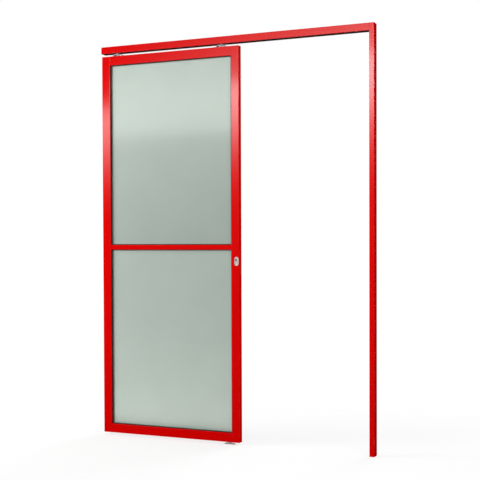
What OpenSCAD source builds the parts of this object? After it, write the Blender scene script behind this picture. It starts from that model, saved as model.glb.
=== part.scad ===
// Top-hung sliding door: a glazed leaf on two roller carriages, with its head and one jamb post.
// Lengths are in millimetres. +X runs right along the head, +Y from front to back, +Z up.
// The origin lies on the floor, below the middle of the head.

/* [Door set] */
// Overall width, from the head's left end to the jamb post's right face
frame_w = 1570; // [1400:1:2000]
// How far the closed leaf still laps the place of the open leaf
leaf_overlap = 124.8; // [80:0.1:250]
// Depth of the head and of the jamb post, front to back
frame_d = 48; // [44:0.5:60]
// Gap between the floor and the leaf's lower edge
floor_gap = 12; // [8:0.5:18]
// Gap between the leaf's upper edge and the head's lower edge
hang_gap = 15.5; // [15:0.5:22]
// Radius of the outer edges of the extruded profiles
edge_r = 1.2; // [0.8:0.1:1.6]

/* [Head] */
// Height of the head's face
head_h = 37.5; // [32:0.5:45]
// Wall of the head cover
cover_wall = 2.2; // [2:0.1:3]
// Wall of the running track
track_wall = 2.2; // [1.8:0.1:2.5]
// Thickness of the track's running flanges
flange_t = 3; // [2.5:0.1:3.5]
// Step from the head's lower edge up to the track's underside
track_lift = 0.2; // [0:0.1:2]
// Width of the slot in the track's underside
slot_w = 14; // [12:0.5:15]
// Radius of the round bead that the wheels run on
bead_r = 1.5; // [1.4:0.1:1.8]
// Thickness of the cap on the head's left end
end_cap_t = 2.5; // [2:0.1:4]

/* [Jamb post] */
// Width of the jamb post's face
jamb_w = 25.5; // [22:0.5:40]
// Wall of the jamb post
jamb_wall = 2.5; // [2:0.1:3]
// Thickness of the jamb's left wall behind the seal
jamb_web = 4; // [3.5:0.1:5]
// How far the hollow seal stands out of the jamb's left face
seal_out = 5; // [4:0.1:7]
// Thickness of the plates that close the jamb's two ends
jamb_cap_t = 2; // [1.5:0.1:4]

/* [Leaf frame] */
// Height of the leaf
leaf_h = 2100; // [1900:1:2400]
// Thickness of the leaf
leaf_t = 34; // [29:0.5:36]
// Face width of the left stile, the top rail and the bottom rail
frame_face = 49.5; // [48:0.5:70]
// Face width of the lock stile
lock_face = 43.5; // [42:0.5:70]
// Thickness of the web between the middle rail's two grooves
mid_web = 6; // [6:0.5:20]
// Height of the middle rail's centre above the leaf's lower edge
mid_rail_z = 1038; // [800:1:1300]
// Wall of the leaf's profiles
profile_wall = 2; // [1.6:0.1:2.4]
// Width of the guide groove under the leaf
guide_groove_w = 10; // [8:0.5:12]
// Height of the guide groove under the leaf
guide_groove_h = 16; // [13:0.5:18]

/* [Glazing] */
// Thickness of the glass
glass_t = 6; // [4:0.5:8]
// Thickness of the gasket on each side of the glass
gasket_t = 5; // [4:0.5:5.5]
// Depth of the glazing groove
groove_d = 10; // [9:0.5:10.5]
// How far the glass reaches into the groove
pane_bite = 7; // [5:0.5:8]
// Width of the gasket that shows round each pane
gasket_sight = 2.5; // [1.5:0.1:5]

/* [Hangers] */
// Distance of the left hanger bolt from the left stile's inner edge
left_hanger_in = 46; // [45:1:150]
// Distance of the right hanger bolt from the lock stile's inner edge
right_hanger_in = 63; // [45:1:150]
// Diameter of the hanger bolts
bolt_d = 8; // [6:0.5:10]
// Outer length of the bridge's arch
bridge_span = 48; // [48:1:58]
// Plate thickness of the bridge
bridge_t = 2.5; // [2:0.1:3]
// Width of the bridge across the leaf
bridge_w = 24; // [20:0.5:28]
// Length of each foot of the bridge
bridge_foot = 14; // [14:0.5:20]
// Distance between the two axles of a carriage
wheel_pitch = 40; // [34:1:50]
// Height of a wheel's rims beyond the rolling radius
wheel_rim = 1; // [0.6:0.1:1.1]
// Diameter of the axles
axle_d = 5; // [4:0.5:6]

/* [Lock] */
// Drop of the lock cylinder's axis below the middle rail's centre
lock_drop = 67; // [45:1:120]
// Distance of the lock cylinder's axis from the leaf's edge
backset = 14; // [13:0.5:18]
// Diameter of the round part of the profile cylinder
cylinder_d = 17; // [16:0.5:17.5]
// Diameter of the turning plug
plug_d = 13; // [11:0.5:14]
// Height of the whole cylinder profile
profile_h = 33; // [32:0.5:34]
// Width of the profile's lower leg
leg_w = 10; // [9:0.5:11]
// Width of an escutcheon
escutcheon_w = 23; // [23:0.5:26]
// How far an escutcheon reaches beyond the cylinder profile, above and below
escutcheon_margin = 6.5; // [6.5:0.1:10]
// Thickness of an escutcheon
escutcheon_t = 5; // [4:0.5:6]
// Thickness of the hook bolt
hook_t = 5; // [4:0.5:6]
// Diameter of the hook bolt's pivot pin
hook_pin_d = 6; // [5:0.5:7]

/* [Floor guide] */
// Length of the guide's base plate
guide_l = 60; // [54:1:90]
// Width of the guide's base plate
guide_w = 28; // [24:0.5:40]
// Thickness of the guide's base plate
guide_t = 3; // [2.5:0.1:5]
// Gap along the plate between the guide's fin and its screw heads
fin_gap = 3.4; // [2:0.1:6]

/* [Hidden] */
$fn = 48;
// Clearances: pieces that move past each other, flat seats, and round fits
run_gap = 0.3;
seat_gap = 0.1;
fit_gap = 0.05;
// Overrun of every cut
over = 1;

// Width of the leaf over both stiles
leaf_w = (frame_w - jamb_w - seal_out - run_gap + leaf_overlap) / 2;

// Places along X
leaf_x0 = -frame_w / 2;
leaf_x1 = leaf_x0 + leaf_w;
jamb_x1 = frame_w / 2;
jamb_x0 = jamb_x1 - jamb_w;
head_x0 = -frame_w / 2 + end_cap_t;
head_l = jamb_x0 - head_x0;
// Travel of the leaf from the open place to the jamb's seal
travel = jamb_x0 - seal_out - run_gap - leaf_x1;
rail_x0 = leaf_x0 + frame_face;
rail_x1 = leaf_x1 - lock_face;
hanger_xs = [rail_x0 + left_hanger_in, rail_x1 - right_hanger_in];

// Places along Z
leaf_z0 = floor_gap;
leaf_z1 = leaf_z0 + leaf_h;
head_z0 = leaf_z1 + hang_gap;
head_z1 = head_z0 + head_h;

// Head section
track_side_gap = 0.3;
track_half = frame_d / 2 - cover_wall - track_side_gap;
track_inner = track_half - track_wall;
track_top = head_h - cover_wall;
track_ceiling = track_top - track_wall;
flange_top = track_lift + flange_t;

// Roller carriage: the wheels fill the track's height and half width, less named gaps
wheel_top_gap = 5.4;
wheel_side_gap = 0.7;
roll_r = (track_ceiling - flange_top - bead_r - wheel_rim - wheel_top_gap) / 2;
wheel_r = roll_r + wheel_rim;
axle_r = axle_d / 2;
bolt_r = bolt_d / 2;
axle_up = flange_top + bead_r + roll_r;
axle_z = head_z0 + axle_up;
wheel_lead = 2;
wheel_in = slot_w / 2 + wheel_lead;
axle_head_t = 1;
wheel_w = track_inner - wheel_in - run_gap - axle_head_t - wheel_side_gap;
bead_y = wheel_in + wheel_w / 2;
wheel_out = wheel_in + wheel_w;
axle_head_lip = 1.3;
axle_head_r = axle_r + axle_head_lip;
wheel_recess = 1.5;
wheel_hub_t = 2;
wheel_tyre_share = 0.26;
wheel_web_r0 = axle_r + wheel_hub_t;
wheel_web_r1 = roll_r - wheel_tyre_share * roll_r;
carriage_side_gap = 1;
carriage_w = slot_w - 2 * carriage_side_gap;
carriage_ear_r = 8;
carriage_bar_h = 9;
carriage_bar_out = 2;
carriage_l = wheel_pitch + 2 * wheel_r + 2 * carriage_bar_out;
carriage_block_l = 22;
carriage_block_down = 8;
wheel_boss_r = 4.5;
bolt_reach = 6;
// Hexagon heads and nuts, as shares of the bolt's diameter
hex_across_share = 13 / 8;
hex_head_share = 5.3 / 8;
thin_nut_share = 0.4;
// The bridge leaves a gap between the thin nut and the head's lower edge
nut_gap = 1.2;
bridge_h = hang_gap - nut_gap - bolt_d * thin_nut_share;
bridge_r_share = 0.78;
bridge_r = bridge_h * bridge_r_share;

// Bridge screws
bridge_screw_r = 2.4;
bridge_screw_head_r = 4.6;
bridge_screw_head_t = 2.6;
bridge_screw_l = 12;
bridge_screw_y_share = 0.28;

// Track and head fixings
fix_hole_r = 2.75;
fix_sink_r = 4.4;
fix_edge = 85;
fix_pair_share = 0.3;
track_screw_r = 2.4;
track_screw_head_r = 4.4;
track_screw_l = 7;
track_screw_shares = [0.12, 0.36, 0.64, 0.86];

// End cap prongs
prong_l = 14;
prong_t = 3;
prong_h = 14;

// Track stops
stop_l = 24;
stop_h = 18;
stop_screw_r = 3;
buffer_r = 6;
buffer_l = 8;
left_buffer_x = hanger_xs[0] - carriage_l / 2 - run_gap - buffer_l;
right_buffer_x = hanger_xs[1] + travel + carriage_l / 2 + run_gap;

// Corner cleat between head and jamb
cleat_t = 3;
cleat_l = 30;
cleat_side_gap = 4;
cleat_half = track_inner - cleat_side_gap;
cleat_low = 8;
cleat_screw_r = 2;
cleat_screw_head_r = 3.8;
cleat_screw_head_t = 2.2;
cleat_screw_l = 8.5;
cleat_screw_y_share = 0.6;
cleat_screw_y = cleat_half * cleat_screw_y_share;
cleat_screw_share = 0.39;
cleat_screw_up = cleat_low + cleat_screw_share * (track_ceiling - cleat_low);

// Jamb details
seal_root_w = 4.6;
seal_root_d = 2.4;
seal_wall = 1.5;
jamb_pad_half = 6;
seal_end_gap = 6;
jamb_plug_wall = 2;
jamb_plug_share = 0.28;
jamb_plug_h = head_h * jamb_plug_share;
jamb_fix_zs_shares = [0.12, 0.84];
jamb_access_r = 5.5;

// Leaf joints
groove_w = glass_t + 2 * gasket_t;
rail_l = rail_x1 - rail_x0;
web_in = frame_face - groove_d - profile_wall;
lock_web_in = lock_face - groove_d - profile_wall;
stile_cap_t = 1.5;
joint_gap = 1.3;
mid_rail_h = 2 * groove_d + mid_web;
hanger_in = min(left_hanger_in, right_hanger_in);
rail_cleat_l = hanger_in - (bridge_span + bridge_foot) / 2 - bridge_screw_r - joint_gap;
frame_screw_r = 3;
frame_screw_head_r = 5.2;
frame_screw_head_t = 3.2;
top_joint_drop = (frame_face - groove_d) / 2;
low_joint_rise = (guide_groove_h + frame_face - groove_d) / 2;
stile_plug_h = top_joint_drop - frame_screw_head_r - joint_gap - stile_cap_t;
stile_foot_h = low_joint_rise - frame_screw_head_r - joint_gap - stile_cap_t;
frame_screw_bite = 12;
mid_screw_r = 2;
mid_screw_head_r = 3.6;
access_r = 6.2;
access_plug_t = profile_wall;
top_joint_z = leaf_z1 - top_joint_drop;
low_joint_z = leaf_z0 + low_joint_rise;
mid_joint_z = leaf_z0 + mid_rail_z;
// Each joint's height, its screw's radius and its screw head's radius
frame_joints = [
    [low_joint_z, frame_screw_r, frame_screw_head_r],
    [mid_joint_z, mid_screw_r, mid_screw_head_r],
    [top_joint_z, frame_screw_r, frame_screw_head_r],
];

// Panes
pane_w = rail_l + 2 * pane_bite;
low_pane_z0 = leaf_z0 + frame_face;
low_pane_z1 = mid_joint_z - mid_rail_h / 2;
up_pane_z0 = mid_joint_z + mid_rail_h / 2;
up_pane_z1 = leaf_z1 - frame_face;

// Lock
lock_x = leaf_x1 - backset;
lock_z = mid_joint_z - lock_drop;
cylinder_r = cylinder_d / 2;
plug_r = plug_d / 2;
leg_down = profile_h - cylinder_r;
cylinder_proud = 1.5;
cylinder_half = leaf_t / 2 + escutcheon_t + cylinder_proud;
plug_proud = 0.4;
cam_ring_r = 8;
cam_tab_w = 5;
cam_reach = 8.9;
cam_r = sqrt(pow(cam_reach, 2) + pow(cam_tab_w / 2, 2));
cam_half = 4.8;
keyway_w = 2.4;
keyway_h = 8.6;
keyway_d = 10;
escutcheon_chamfer = 1.4;
escutcheon_h = profile_h + 2 * escutcheon_margin;
escutcheon_z = lock_z + (cylinder_r - leg_down) / 2;
rose_screw_r = 1.25;
rose_screw_out = 3;
rose_screw_z = profile_h / 2 + rose_screw_out;
rose_screw_head_r = 2.1;
rose_screw_head_t = 1.8;
rose_screw_bite = 3.5;
faceplate_t = profile_wall;
faceplate_w = 18;
faceplate_end = 11;
case_t = 16;
case_wall = 2;
pocket_gap = 0.6;
beak_w = 6;
beak_drop = 10;
beak_clear = 0.8;
hook_neck = 4;
hook_boss_r = 5.5;
hook_reach = backset + seal_out + run_gap + jamb_web + beak_clear + beak_w;
hook_z = escutcheon_z - rose_screw_z - rose_screw_r - case_wall - pocket_gap - hook_reach;
case_x1 = leaf_x1 - faceplate_t;
case_x0 = lock_x - cam_r - pocket_gap - case_wall;
case_z0 = hook_z - hook_boss_r - pocket_gap - case_wall;
case_z1 = escutcheon_z + rose_screw_z + rose_screw_r + case_wall;
faceplate_z0 = case_z0 - faceplate_end;
faceplate_z1 = case_z1 + faceplate_end;
plate_screw_r = 1.9;
plate_screw_head_r = 3.6;
plate_screw_l = 9;
plate_screw_in = 5.5;
lug_h = faceplate_end;
lug_l = 10;
// Slot that the hook swings through, above and below its pivot
slot_gap = 0.6;
hook_tip_r = sqrt(pow(hook_reach, 2) + pow(beak_drop, 2));
slot_up = sqrt(pow(hook_tip_r, 2) - pow(backset - faceplate_t, 2)) + slot_gap;
slot_down = hook_neck + slot_gap;
strike_t = 2;
strike_w = 20;
strike_end = 20;
strike_screw_in = 8;
strike_z0 = hook_z - slot_down - strike_end;
strike_z1 = hook_z + slot_up + strike_end;

// Floor guide
guide_x = (leaf_x0 + travel + leaf_x1) / 2;
fin_t = guide_groove_w - 2 * run_gap;
fin_top_gap = 1;
fin_z1 = leaf_z0 + guide_groove_h - fin_top_gap;
guide_hole_r = 2.5;
guide_sink_r = 4.6;
guide_hole_in = 7;
guide_corner_r = 4;
fin_l = guide_l - 2 * (guide_hole_in + guide_sink_r + fin_gap);

// Colours
red = [0.83, 0.02, 0.02];
black = [0.05, 0.05, 0.055];
steel = [0.72, 0.73, 0.74];
chrome = [0.86, 0.87, 0.88];
glass = [0.72, 0.78, 0.74, 0.85];
nylon = [0.86, 0.86, 0.83];
brass = [0.74, 0.66, 0.42];

// Shared shapes

// Rectangle with round corners, centred
module round_rect(w, h, r) {
    square([w - 2 * r, h], center = true);
    square([w, h - 2 * r], center = true);
    for (x = [-1, 1], y = [-1, 1])
        translate([x * (w / 2 - r), y * (h / 2 - r)]) circle(r);
}

// Upright slot shape with round ends, centred
module stadium(w, h) {
    square([w, h - w], center = true);
    for (y = [-1, 1]) translate([0, y * (h - w) / 2]) circle(w / 2);
}

// Extrudes a section drawn in Y and Z along X, from x
module along_x(x, l) {
    translate([x, 0, 0]) rotate([90, 0, 90]) linear_extrude(l) children();
}

// Extrudes an outline drawn in X and Z along Y, centred on y
module along_y(y, l) {
    translate([0, y + l / 2, 0]) rotate([90, 0, 0]) linear_extrude(l) children();
}

// Cylinder along X or Y, from its start
module rod_x(r, l) {
    rotate([0, 90, 0]) cylinder(r = r, h = l);
}

module rod_y(r, l) {
    rotate([-90, 0, 0]) cylinder(r = r, h = l);
}

// Countersunk screw along -Z, with its head's top at the origin
module sunk_screw(r, head_r, l) {
    translate([0, 0, r - head_r]) cylinder(r1 = r, r2 = head_r, h = head_r - r);
    translate([0, 0, -l]) cylinder(r = r, h = l);
}

// Hole for a countersunk screw, open upwards
module sunk_hole(r, head_r, l) {
    sunk_screw(r, head_r, l);
    cylinder(r = head_r, h = over);
}

// Pan head screw along -Z, with its seat at the origin
module pan_screw(r, head_r, head_t, l) {
    cylinder(r = head_r, h = head_t);
    translate([0, 0, -l]) cylinder(r = r, h = l);
}

// Section of the stiles and rails: u = 0 is the outer edge, and the glazing groove opens at u = face
module frame_section(face, web) {
    lip = groove_w / 2 + profile_wall;
    lip_space = leaf_t / 2 - profile_wall - lip;
    difference() {
        translate([face / 2, 0]) round_rect(face, leaf_t, edge_r);
        translate([face - groove_d, -groove_w / 2]) square([groove_d + over, groove_w]);
        translate([profile_wall, profile_wall - leaf_t / 2])
            square([web - profile_wall, leaf_t - 2 * profile_wall]);
        for (side = [lip, -lip - lip_space])
            translate([profile_wall, side]) square([face - 2 * profile_wall, lip_space]);
    }
}

// Places a screw joint of the left stile at each rail, with u = 0 on the stile's outer edge
module at_left_joints() {
    for (j = frame_joints) translate([leaf_x0, 0, j[0]]) {
        $joint = j;
        children();
    }
}

// Mirrors left-hand leaf pieces to the right-hand stile
module mirror_leaf() {
    translate([leaf_x0 + leaf_x1, 0, 0]) mirror([1, 0, 0]) children();
}

// Frame: head

module cover_section() {
    difference() {
        translate([0, head_z0 + head_h / 2]) round_rect(frame_d, head_h, edge_r);
        translate([cover_wall - frame_d / 2, head_z0 - over])
            square([frame_d - 2 * cover_wall, track_top + over]);
    }
}

module track_section() {
    difference() {
        translate([-track_half, head_z0 + track_lift]) square([2 * track_half, track_top - track_lift]);
        translate([-track_inner, head_z0 + flange_top])
            square([2 * track_inner, track_ceiling - flange_top]);
        translate([-slot_w / 2, head_z0]) square([slot_w, flange_top + over]);
    }
    for (side = [-1, 1]) translate([side * bead_y, head_z0 + flange_top]) circle(bead_r);
}

// Fixing places along the head: an outer and an inner pair about its middle
head_mid = head_x0 + head_l / 2;
fix_outer = head_l / 2 - fix_edge;
fix_inner = head_l * fix_pair_share / 2;
fix_offsets = [-fix_outer, -fix_inner, fix_inner, fix_outer];

module head_fix_holes() {
    for (x = fix_offsets) translate([head_mid + x, 0, head_z1 - head_h / 2])
        cylinder(r = fix_hole_r, h = head_h);
}

module at_track_screws() {
    for (share = track_screw_shares) translate([head_x0 + share * head_l, 0, head_z1]) children();
}

module at_corner_top_screws() {
    for (side = [-1, 1])
        translate([jamb_x0 - cleat_l / 2, side * cleat_screw_y, head_z1]) children();
}

module at_corner_side_screws() {
    for (side = [-1, 1]) translate([jamb_x0 - cleat_t, side * cleat_screw_y, head_z0 + cleat_screw_up])
        rotate([0, -90, 0]) children();
}

module head_cover() color(red) difference() {
    along_x(head_x0, head_l) cover_section();
    head_fix_holes();
    at_track_screws() sunk_hole(track_screw_r + fit_gap, track_screw_head_r, track_screw_l + over);
    at_corner_top_screws() sunk_hole(track_screw_r + fit_gap, track_screw_head_r, track_screw_l + over);
}

module running_track() color(black) difference() {
    along_x(head_x0, head_l) track_section();
    head_fix_holes();
    for (x = fix_offsets) translate([head_mid + x, 0, head_z0 + track_ceiling])
        rotate([180, 0, 0]) sunk_hole(fix_hole_r, fix_sink_r, track_wall);
    at_track_screws() cylinder(r = track_screw_r + fit_gap, h = head_h, center = true);
    at_corner_top_screws() cylinder(r = track_screw_r + fit_gap, h = head_h, center = true);
}

module head_end_cap() color(red) {
    along_x(head_x0 - end_cap_t, end_cap_t)
        translate([0, head_z0 + head_h / 2]) round_rect(frame_d, head_h, edge_r);
    for (side = [seat_gap - track_inner, track_inner - seat_gap - prong_t])
        translate([head_x0 - end_cap_t / 2, side, axle_z - prong_h / 2])
            cube([prong_l + end_cap_t / 2, prong_t, prong_h]);
}

module track_screws() color(steel) at_track_screws()
    sunk_screw(track_screw_r, track_screw_head_r - fit_gap, track_screw_l);

// Frame: jamb post

module jamb_section() {
    jamb_mid = (jamb_x0 + jamb_x1) / 2;
    difference() {
        union() {
            difference() {
                translate([jamb_mid, 0]) round_rect(jamb_w, frame_d, edge_r);
                translate([jamb_mid, 0])
                    square([jamb_w - 2 * jamb_wall, frame_d - 2 * jamb_wall], center = true);
            }
            translate([jamb_x0 + jamb_wall / 2, -jamb_pad_half])
                square([jamb_web - jamb_wall / 2, 2 * jamb_pad_half]);
        }
        translate([jamb_x0 - over, -seal_root_w / 2]) square([seal_root_d + over, seal_root_w]);
    }
}

module at_jamb_fixings() {
    for (share = jamb_fix_zs_shares) translate([0, 0, share * head_z1]) children();
}

// Opening for the swinging hook, about its pivot, from x along X
module hook_slot(x, l) {
    translate([x, -hook_t / 2 - pocket_gap, hook_z - slot_down])
        cube([l, hook_t + 2 * pocket_gap, slot_up + slot_down]);
}

module at_strike_screws() {
    for (z = [strike_z0 + strike_screw_in, strike_z1 - strike_screw_in])
        translate([jamb_x0 - strike_t, 0, z]) rotate([0, -90, 0]) children();
}

module jamb_post() color(red) difference() {
    translate([0, 0, jamb_cap_t]) linear_extrude(head_z1 - 2 * jamb_cap_t) jamb_section();
    hook_slot(jamb_x0 - over, jamb_web + 2 * over);
    at_strike_screws() translate([0, 0, -plate_screw_l - over])
        cylinder(r = plate_screw_r + fit_gap, h = plate_screw_l + over);
    at_corner_side_screws() translate([0, 0, -cleat_screw_l - over])
        cylinder(r = cleat_screw_r + fit_gap, h = cleat_screw_l + over);
    at_jamb_fixings() {
        translate([jamb_x1 - jamb_w / 2, 0, 0]) rod_x(fix_hole_r, jamb_w);
        translate([jamb_x0 - over, 0, 0]) rod_x(jamb_access_r, jamb_w / 2);
    }
}

// Plate with a hollow plug that closes an end of the jamb post
module jamb_plug() {
    plug_w = jamb_w - jamb_wall - jamb_web - 2 * seat_gap;
    plug_d2 = frame_d - 2 * jamb_wall - 2 * seat_gap;
    plug_mid = (jamb_x0 + jamb_web + jamb_x1 - jamb_wall) / 2;
    linear_extrude(jamb_cap_t) translate([(jamb_x0 + jamb_x1) / 2, 0]) round_rect(jamb_w, frame_d, edge_r);
    linear_extrude(jamb_cap_t + jamb_plug_h) translate([plug_mid, 0]) difference() {
        square([plug_w, plug_d2], center = true);
        square([plug_w - 2 * jamb_plug_wall, plug_d2 - 2 * jamb_plug_wall], center = true);
    }
}

module jamb_foot() color(red) jamb_plug();

module jamb_top_cap() color(red) translate([0, 0, head_z1]) mirror([0, 0, 1]) jamb_plug();

// Hollow half-round seal with its root in the jamb's groove, split at the strike plate
module seal_section() {
    translate([jamb_x0 - over / 2, seat_gap - seal_root_w / 2])
        square([seal_root_d - seat_gap + over / 2, seal_root_w - 2 * seat_gap]);
    difference() {
        translate([jamb_x0, 0]) circle(seal_out);
        translate([jamb_x0, -2 * seal_out]) square(4 * seal_out);
        difference() {
            translate([jamb_x0, 0]) circle(seal_out - seal_wall);
            translate([jamb_x0 - seal_wall, -2 * seal_out]) square(4 * seal_out);
        }
    }
}

module jamb_seal() color(black) {
    low_z0 = jamb_cap_t + seal_end_gap;
    low_z1 = strike_z0 - seat_gap;
    high_z0 = strike_z1 + seat_gap;
    high_z1 = head_z0 - seal_end_gap;
    translate([0, 0, low_z0]) linear_extrude(low_z1 - low_z0) seal_section();
    translate([0, 0, high_z0]) linear_extrude(high_z1 - high_z0) seal_section();
}

module strike_plate() color(steel) difference() {
    translate([jamb_x0 - strike_t, -strike_w / 2, strike_z0])
        cube([strike_t, strike_w, strike_z1 - strike_z0]);
    hook_slot(jamb_x0 - strike_t - over, strike_t + 2 * over);
    at_strike_screws() sunk_hole(plate_screw_r + fit_gap, plate_screw_head_r, plate_screw_l);
}

module strike_screws() color(steel) at_strike_screws()
    sunk_screw(plate_screw_r, plate_screw_head_r - fit_gap, plate_screw_l);

module corner_cleat() color(steel) difference() {
    union() {
        translate([jamb_x0 - cleat_l, -cleat_half, head_z0 + track_ceiling - cleat_t])
            cube([cleat_l, 2 * cleat_half, cleat_t]);
        translate([jamb_x0 - cleat_t, -cleat_half, head_z0 + cleat_low])
            cube([cleat_t, 2 * cleat_half, track_ceiling - cleat_low]);
    }
    at_corner_top_screws() cylinder(r = track_screw_r + fit_gap, h = head_h, center = true);
    at_corner_side_screws() cylinder(r = cleat_screw_r + fit_gap, h = head_h, center = true);
}

module corner_screws() color(steel) {
    at_corner_top_screws() sunk_screw(track_screw_r, track_screw_head_r - fit_gap, track_screw_l + cleat_t);
    at_corner_side_screws() pan_screw(cleat_screw_r, cleat_screw_head_r, cleat_screw_head_t, cleat_screw_l);
}

// Frame: track stops

module stop_block(x) {
    half = track_inner - run_gap;
    difference() {
        translate([x, -half, head_z0 + flange_top]) cube([stop_l, 2 * half, stop_h]);
        for (side = [-1, 1]) translate([x - over, side * bead_y, head_z0 + flange_top])
            rod_x(bead_r + run_gap, stop_l + 2 * over);
        translate([x + stop_l / 2, 0, head_z0]) cylinder(r = stop_screw_r + fit_gap, h = head_h);
    }
}

left_stop_x = left_buffer_x - stop_l;
right_stop_x = right_buffer_x + buffer_l;

module left_stop() color(steel) stop_block(left_stop_x);

module right_stop() color(steel) stop_block(right_stop_x);

module stop_buffers() color(black) {
    for (x = [left_buffer_x, right_buffer_x]) translate([x, 0, axle_z]) rod_x(buffer_r, buffer_l);
}

module stop_screws() color(steel) {
    for (x = [left_stop_x, right_stop_x])
        translate([x + stop_l / 2, 0, head_z0 + flange_top])
            cylinder(r = stop_screw_r, h = track_ceiling - flange_top);
}

// Frame: floor guide

module guide_base() color(steel) translate([guide_x, 0, 0]) difference() {
    linear_extrude(guide_t) round_rect(guide_l, guide_w, guide_corner_r);
    for (side = [-1, 1]) translate([side * (guide_l / 2 - guide_hole_in), 0, guide_t])
        sunk_hole(guide_hole_r, guide_sink_r, guide_t + over);
}

module guide_fin() color(nylon) translate([guide_x, 0, guide_t])
    linear_extrude(fin_z1 - guide_t) rotate(90) stadium(fin_t, fin_l);

// Leaf: frame

module guide_notch() {
    translate([leaf_x0 - over, -guide_groove_w / 2, leaf_z0 - over])
        cube([leaf_w + 2 * over, guide_groove_w, guide_groove_h + over]);
}

module plain_stile(face, web) difference() {
    translate([leaf_x0, 0, leaf_z0 + stile_cap_t])
        linear_extrude(leaf_h - 2 * stile_cap_t) frame_section(face, web);
    guide_notch();
    at_left_joints() {
        translate([-over, 0, 0]) rod_x(access_r, profile_wall + 2 * over);
        translate([web - over, 0, 0]) rod_x($joint[1] + fit_gap, profile_wall + 2 * over);
    }
}

module left_stile() color(red) plain_stile(frame_face, web_in);

// Outline of the profile cylinder about its axis, grown by a clearance
module cylinder_outline(gap) {
    circle(cylinder_r + gap);
    translate([-leg_w / 2 - gap, leg_w / 2 - leg_down]) square([leg_w + 2 * gap, leg_down - leg_w / 2]);
    translate([0, leg_w / 2 - leg_down]) circle(leg_w / 2 + gap);
}

module at_lock() {
    translate([lock_x, 0, lock_z]) children();
}

module at_rose_screws() {
    for (side = [-1, 1]) translate([lock_x, 0, escutcheon_z + side * rose_screw_z]) children();
}

module rose_screw_holes(l) {
    at_rose_screws() translate([0, -l / 2, 0]) rod_y(rose_screw_r + fit_gap, l);
}

// The faceplate's round-ended blank from x, grown by a clearance
module faceplate_blank(x, l, gap) {
    translate([0, 0, (faceplate_z0 + faceplate_z1) / 2]) along_x(x, l)
        stadium(faceplate_w + 2 * gap, faceplate_z1 - faceplate_z0 + 2 * gap);
}

module lock_stile() color(red) difference() {
    mirror_leaf() plain_stile(lock_face, lock_web_in);
    faceplate_blank(leaf_x1 - profile_wall - over, profile_wall + 2 * over, seat_gap);
    at_lock() along_y(0, 2 * leaf_t) cylinder_outline(run_gap);
    rose_screw_holes(2 * leaf_t);
}

module at_bridge_screws() {
    for (x = hanger_xs, end = [-1, 1], side = [-1, 1])
        translate([
            x + end * (bridge_span + bridge_foot) / 2,
            side * bridge_w * bridge_screw_y_share,
            leaf_z1 + bridge_t
        ]) children();
}

module top_rail() color(red) difference() {
    translate([rail_x0, 0, leaf_z1]) rotate([0, 90, 0])
        linear_extrude(rail_l) frame_section(frame_face, web_in);
    at_bridge_screws() translate([0, 0, -bridge_screw_l])
        cylinder(r = bridge_screw_r + fit_gap, h = bridge_screw_l);
}

module mid_rail_section() {
    lip = groove_w / 2 + profile_wall;
    lip_space = leaf_t / 2 - profile_wall - lip;
    difference() {
        round_rect(mid_rail_h, leaf_t, edge_r);
        for (side = [mid_rail_h / 2 - groove_d, -mid_rail_h / 2 - over])
            translate([side, -groove_w / 2]) square([groove_d + over, groove_w]);
        for (side = [lip, -lip - lip_space]) translate([profile_wall - mid_rail_h / 2, side])
            square([mid_rail_h - 2 * profile_wall, lip_space]);
        circle(mid_screw_r + fit_gap);
    }
}

module mid_rail() color(red) translate([rail_x0, 0, mid_joint_z])
    rotate([0, 90, 0]) linear_extrude(rail_l) mid_rail_section();

module bottom_rail_section() {
    pocket = guide_groove_h + profile_wall;
    difference() {
        union() {
            frame_section(frame_face, web_in);
            translate([0, -guide_groove_w / 2 - profile_wall])
                square([pocket, guide_groove_w + 2 * profile_wall]);
        }
        translate([-over, -guide_groove_w / 2]) square([guide_groove_h + over, guide_groove_w]);
    }
}

module bottom_rail() color(red) translate([rail_x0, 0, leaf_z0])
    mirror([0, 0, 1]) rotate([0, 90, 0]) linear_extrude(rail_l) bottom_rail_section();

// Blocks inside the left ends of the top and bottom rails, beside a stile, that take the frame screws
module end_rail_cleats(face) {
    end_x = leaf_x0 + face;
    deep = leaf_t - 2 * profile_wall - 2 * seat_gap;
    top_h = web_in - profile_wall - 2 * seat_gap;
    low_h = web_in - guide_groove_h - profile_wall - 2 * seat_gap;
    difference() {
        union() {
            translate([end_x, -deep / 2, top_joint_z - top_h / 2]) cube([rail_cleat_l, deep, top_h]);
            translate([end_x, -deep / 2, low_joint_z - low_h / 2]) cube([rail_cleat_l, deep, low_h]);
        }
        for (z = [low_joint_z, top_joint_z])
            translate([end_x - over, 0, z]) rod_x(frame_screw_r + fit_gap, rail_cleat_l + 2 * over);
    }
}

module rail_cleats() color(steel) {
    end_rail_cleats(frame_face);
    mirror_leaf() end_rail_cleats(lock_face);
}

module stile_screws(web) at_left_joints() translate([web, 0, 0]) rotate([0, -90, 0])
    pan_screw($joint[1], $joint[2], frame_screw_head_t, profile_wall + groove_d + frame_screw_bite);

module frame_screws() color(steel) {
    stile_screws(web_in);
    mirror_leaf() stile_screws(lock_web_in);
}

module left_access_plugs() at_left_joints() rod_x(access_r - fit_gap, access_plug_t);

module access_plugs() color(red) {
    left_access_plugs();
    mirror_leaf() left_access_plugs();
}

// Plate and plug that close one end of the left stile, drawn upwards from the stile's end
module stile_end(face, web, plug_h) {
    plug_w = web - profile_wall - 2 * seat_gap;
    plug_deep = leaf_t - 2 * profile_wall - 2 * seat_gap;
    linear_extrude(stile_cap_t) translate([face / 2, 0]) round_rect(face, leaf_t, edge_r);
    translate([profile_wall + seat_gap, -plug_deep / 2, 0]) cube([plug_w, plug_deep, stile_cap_t + plug_h]);
}

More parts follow.
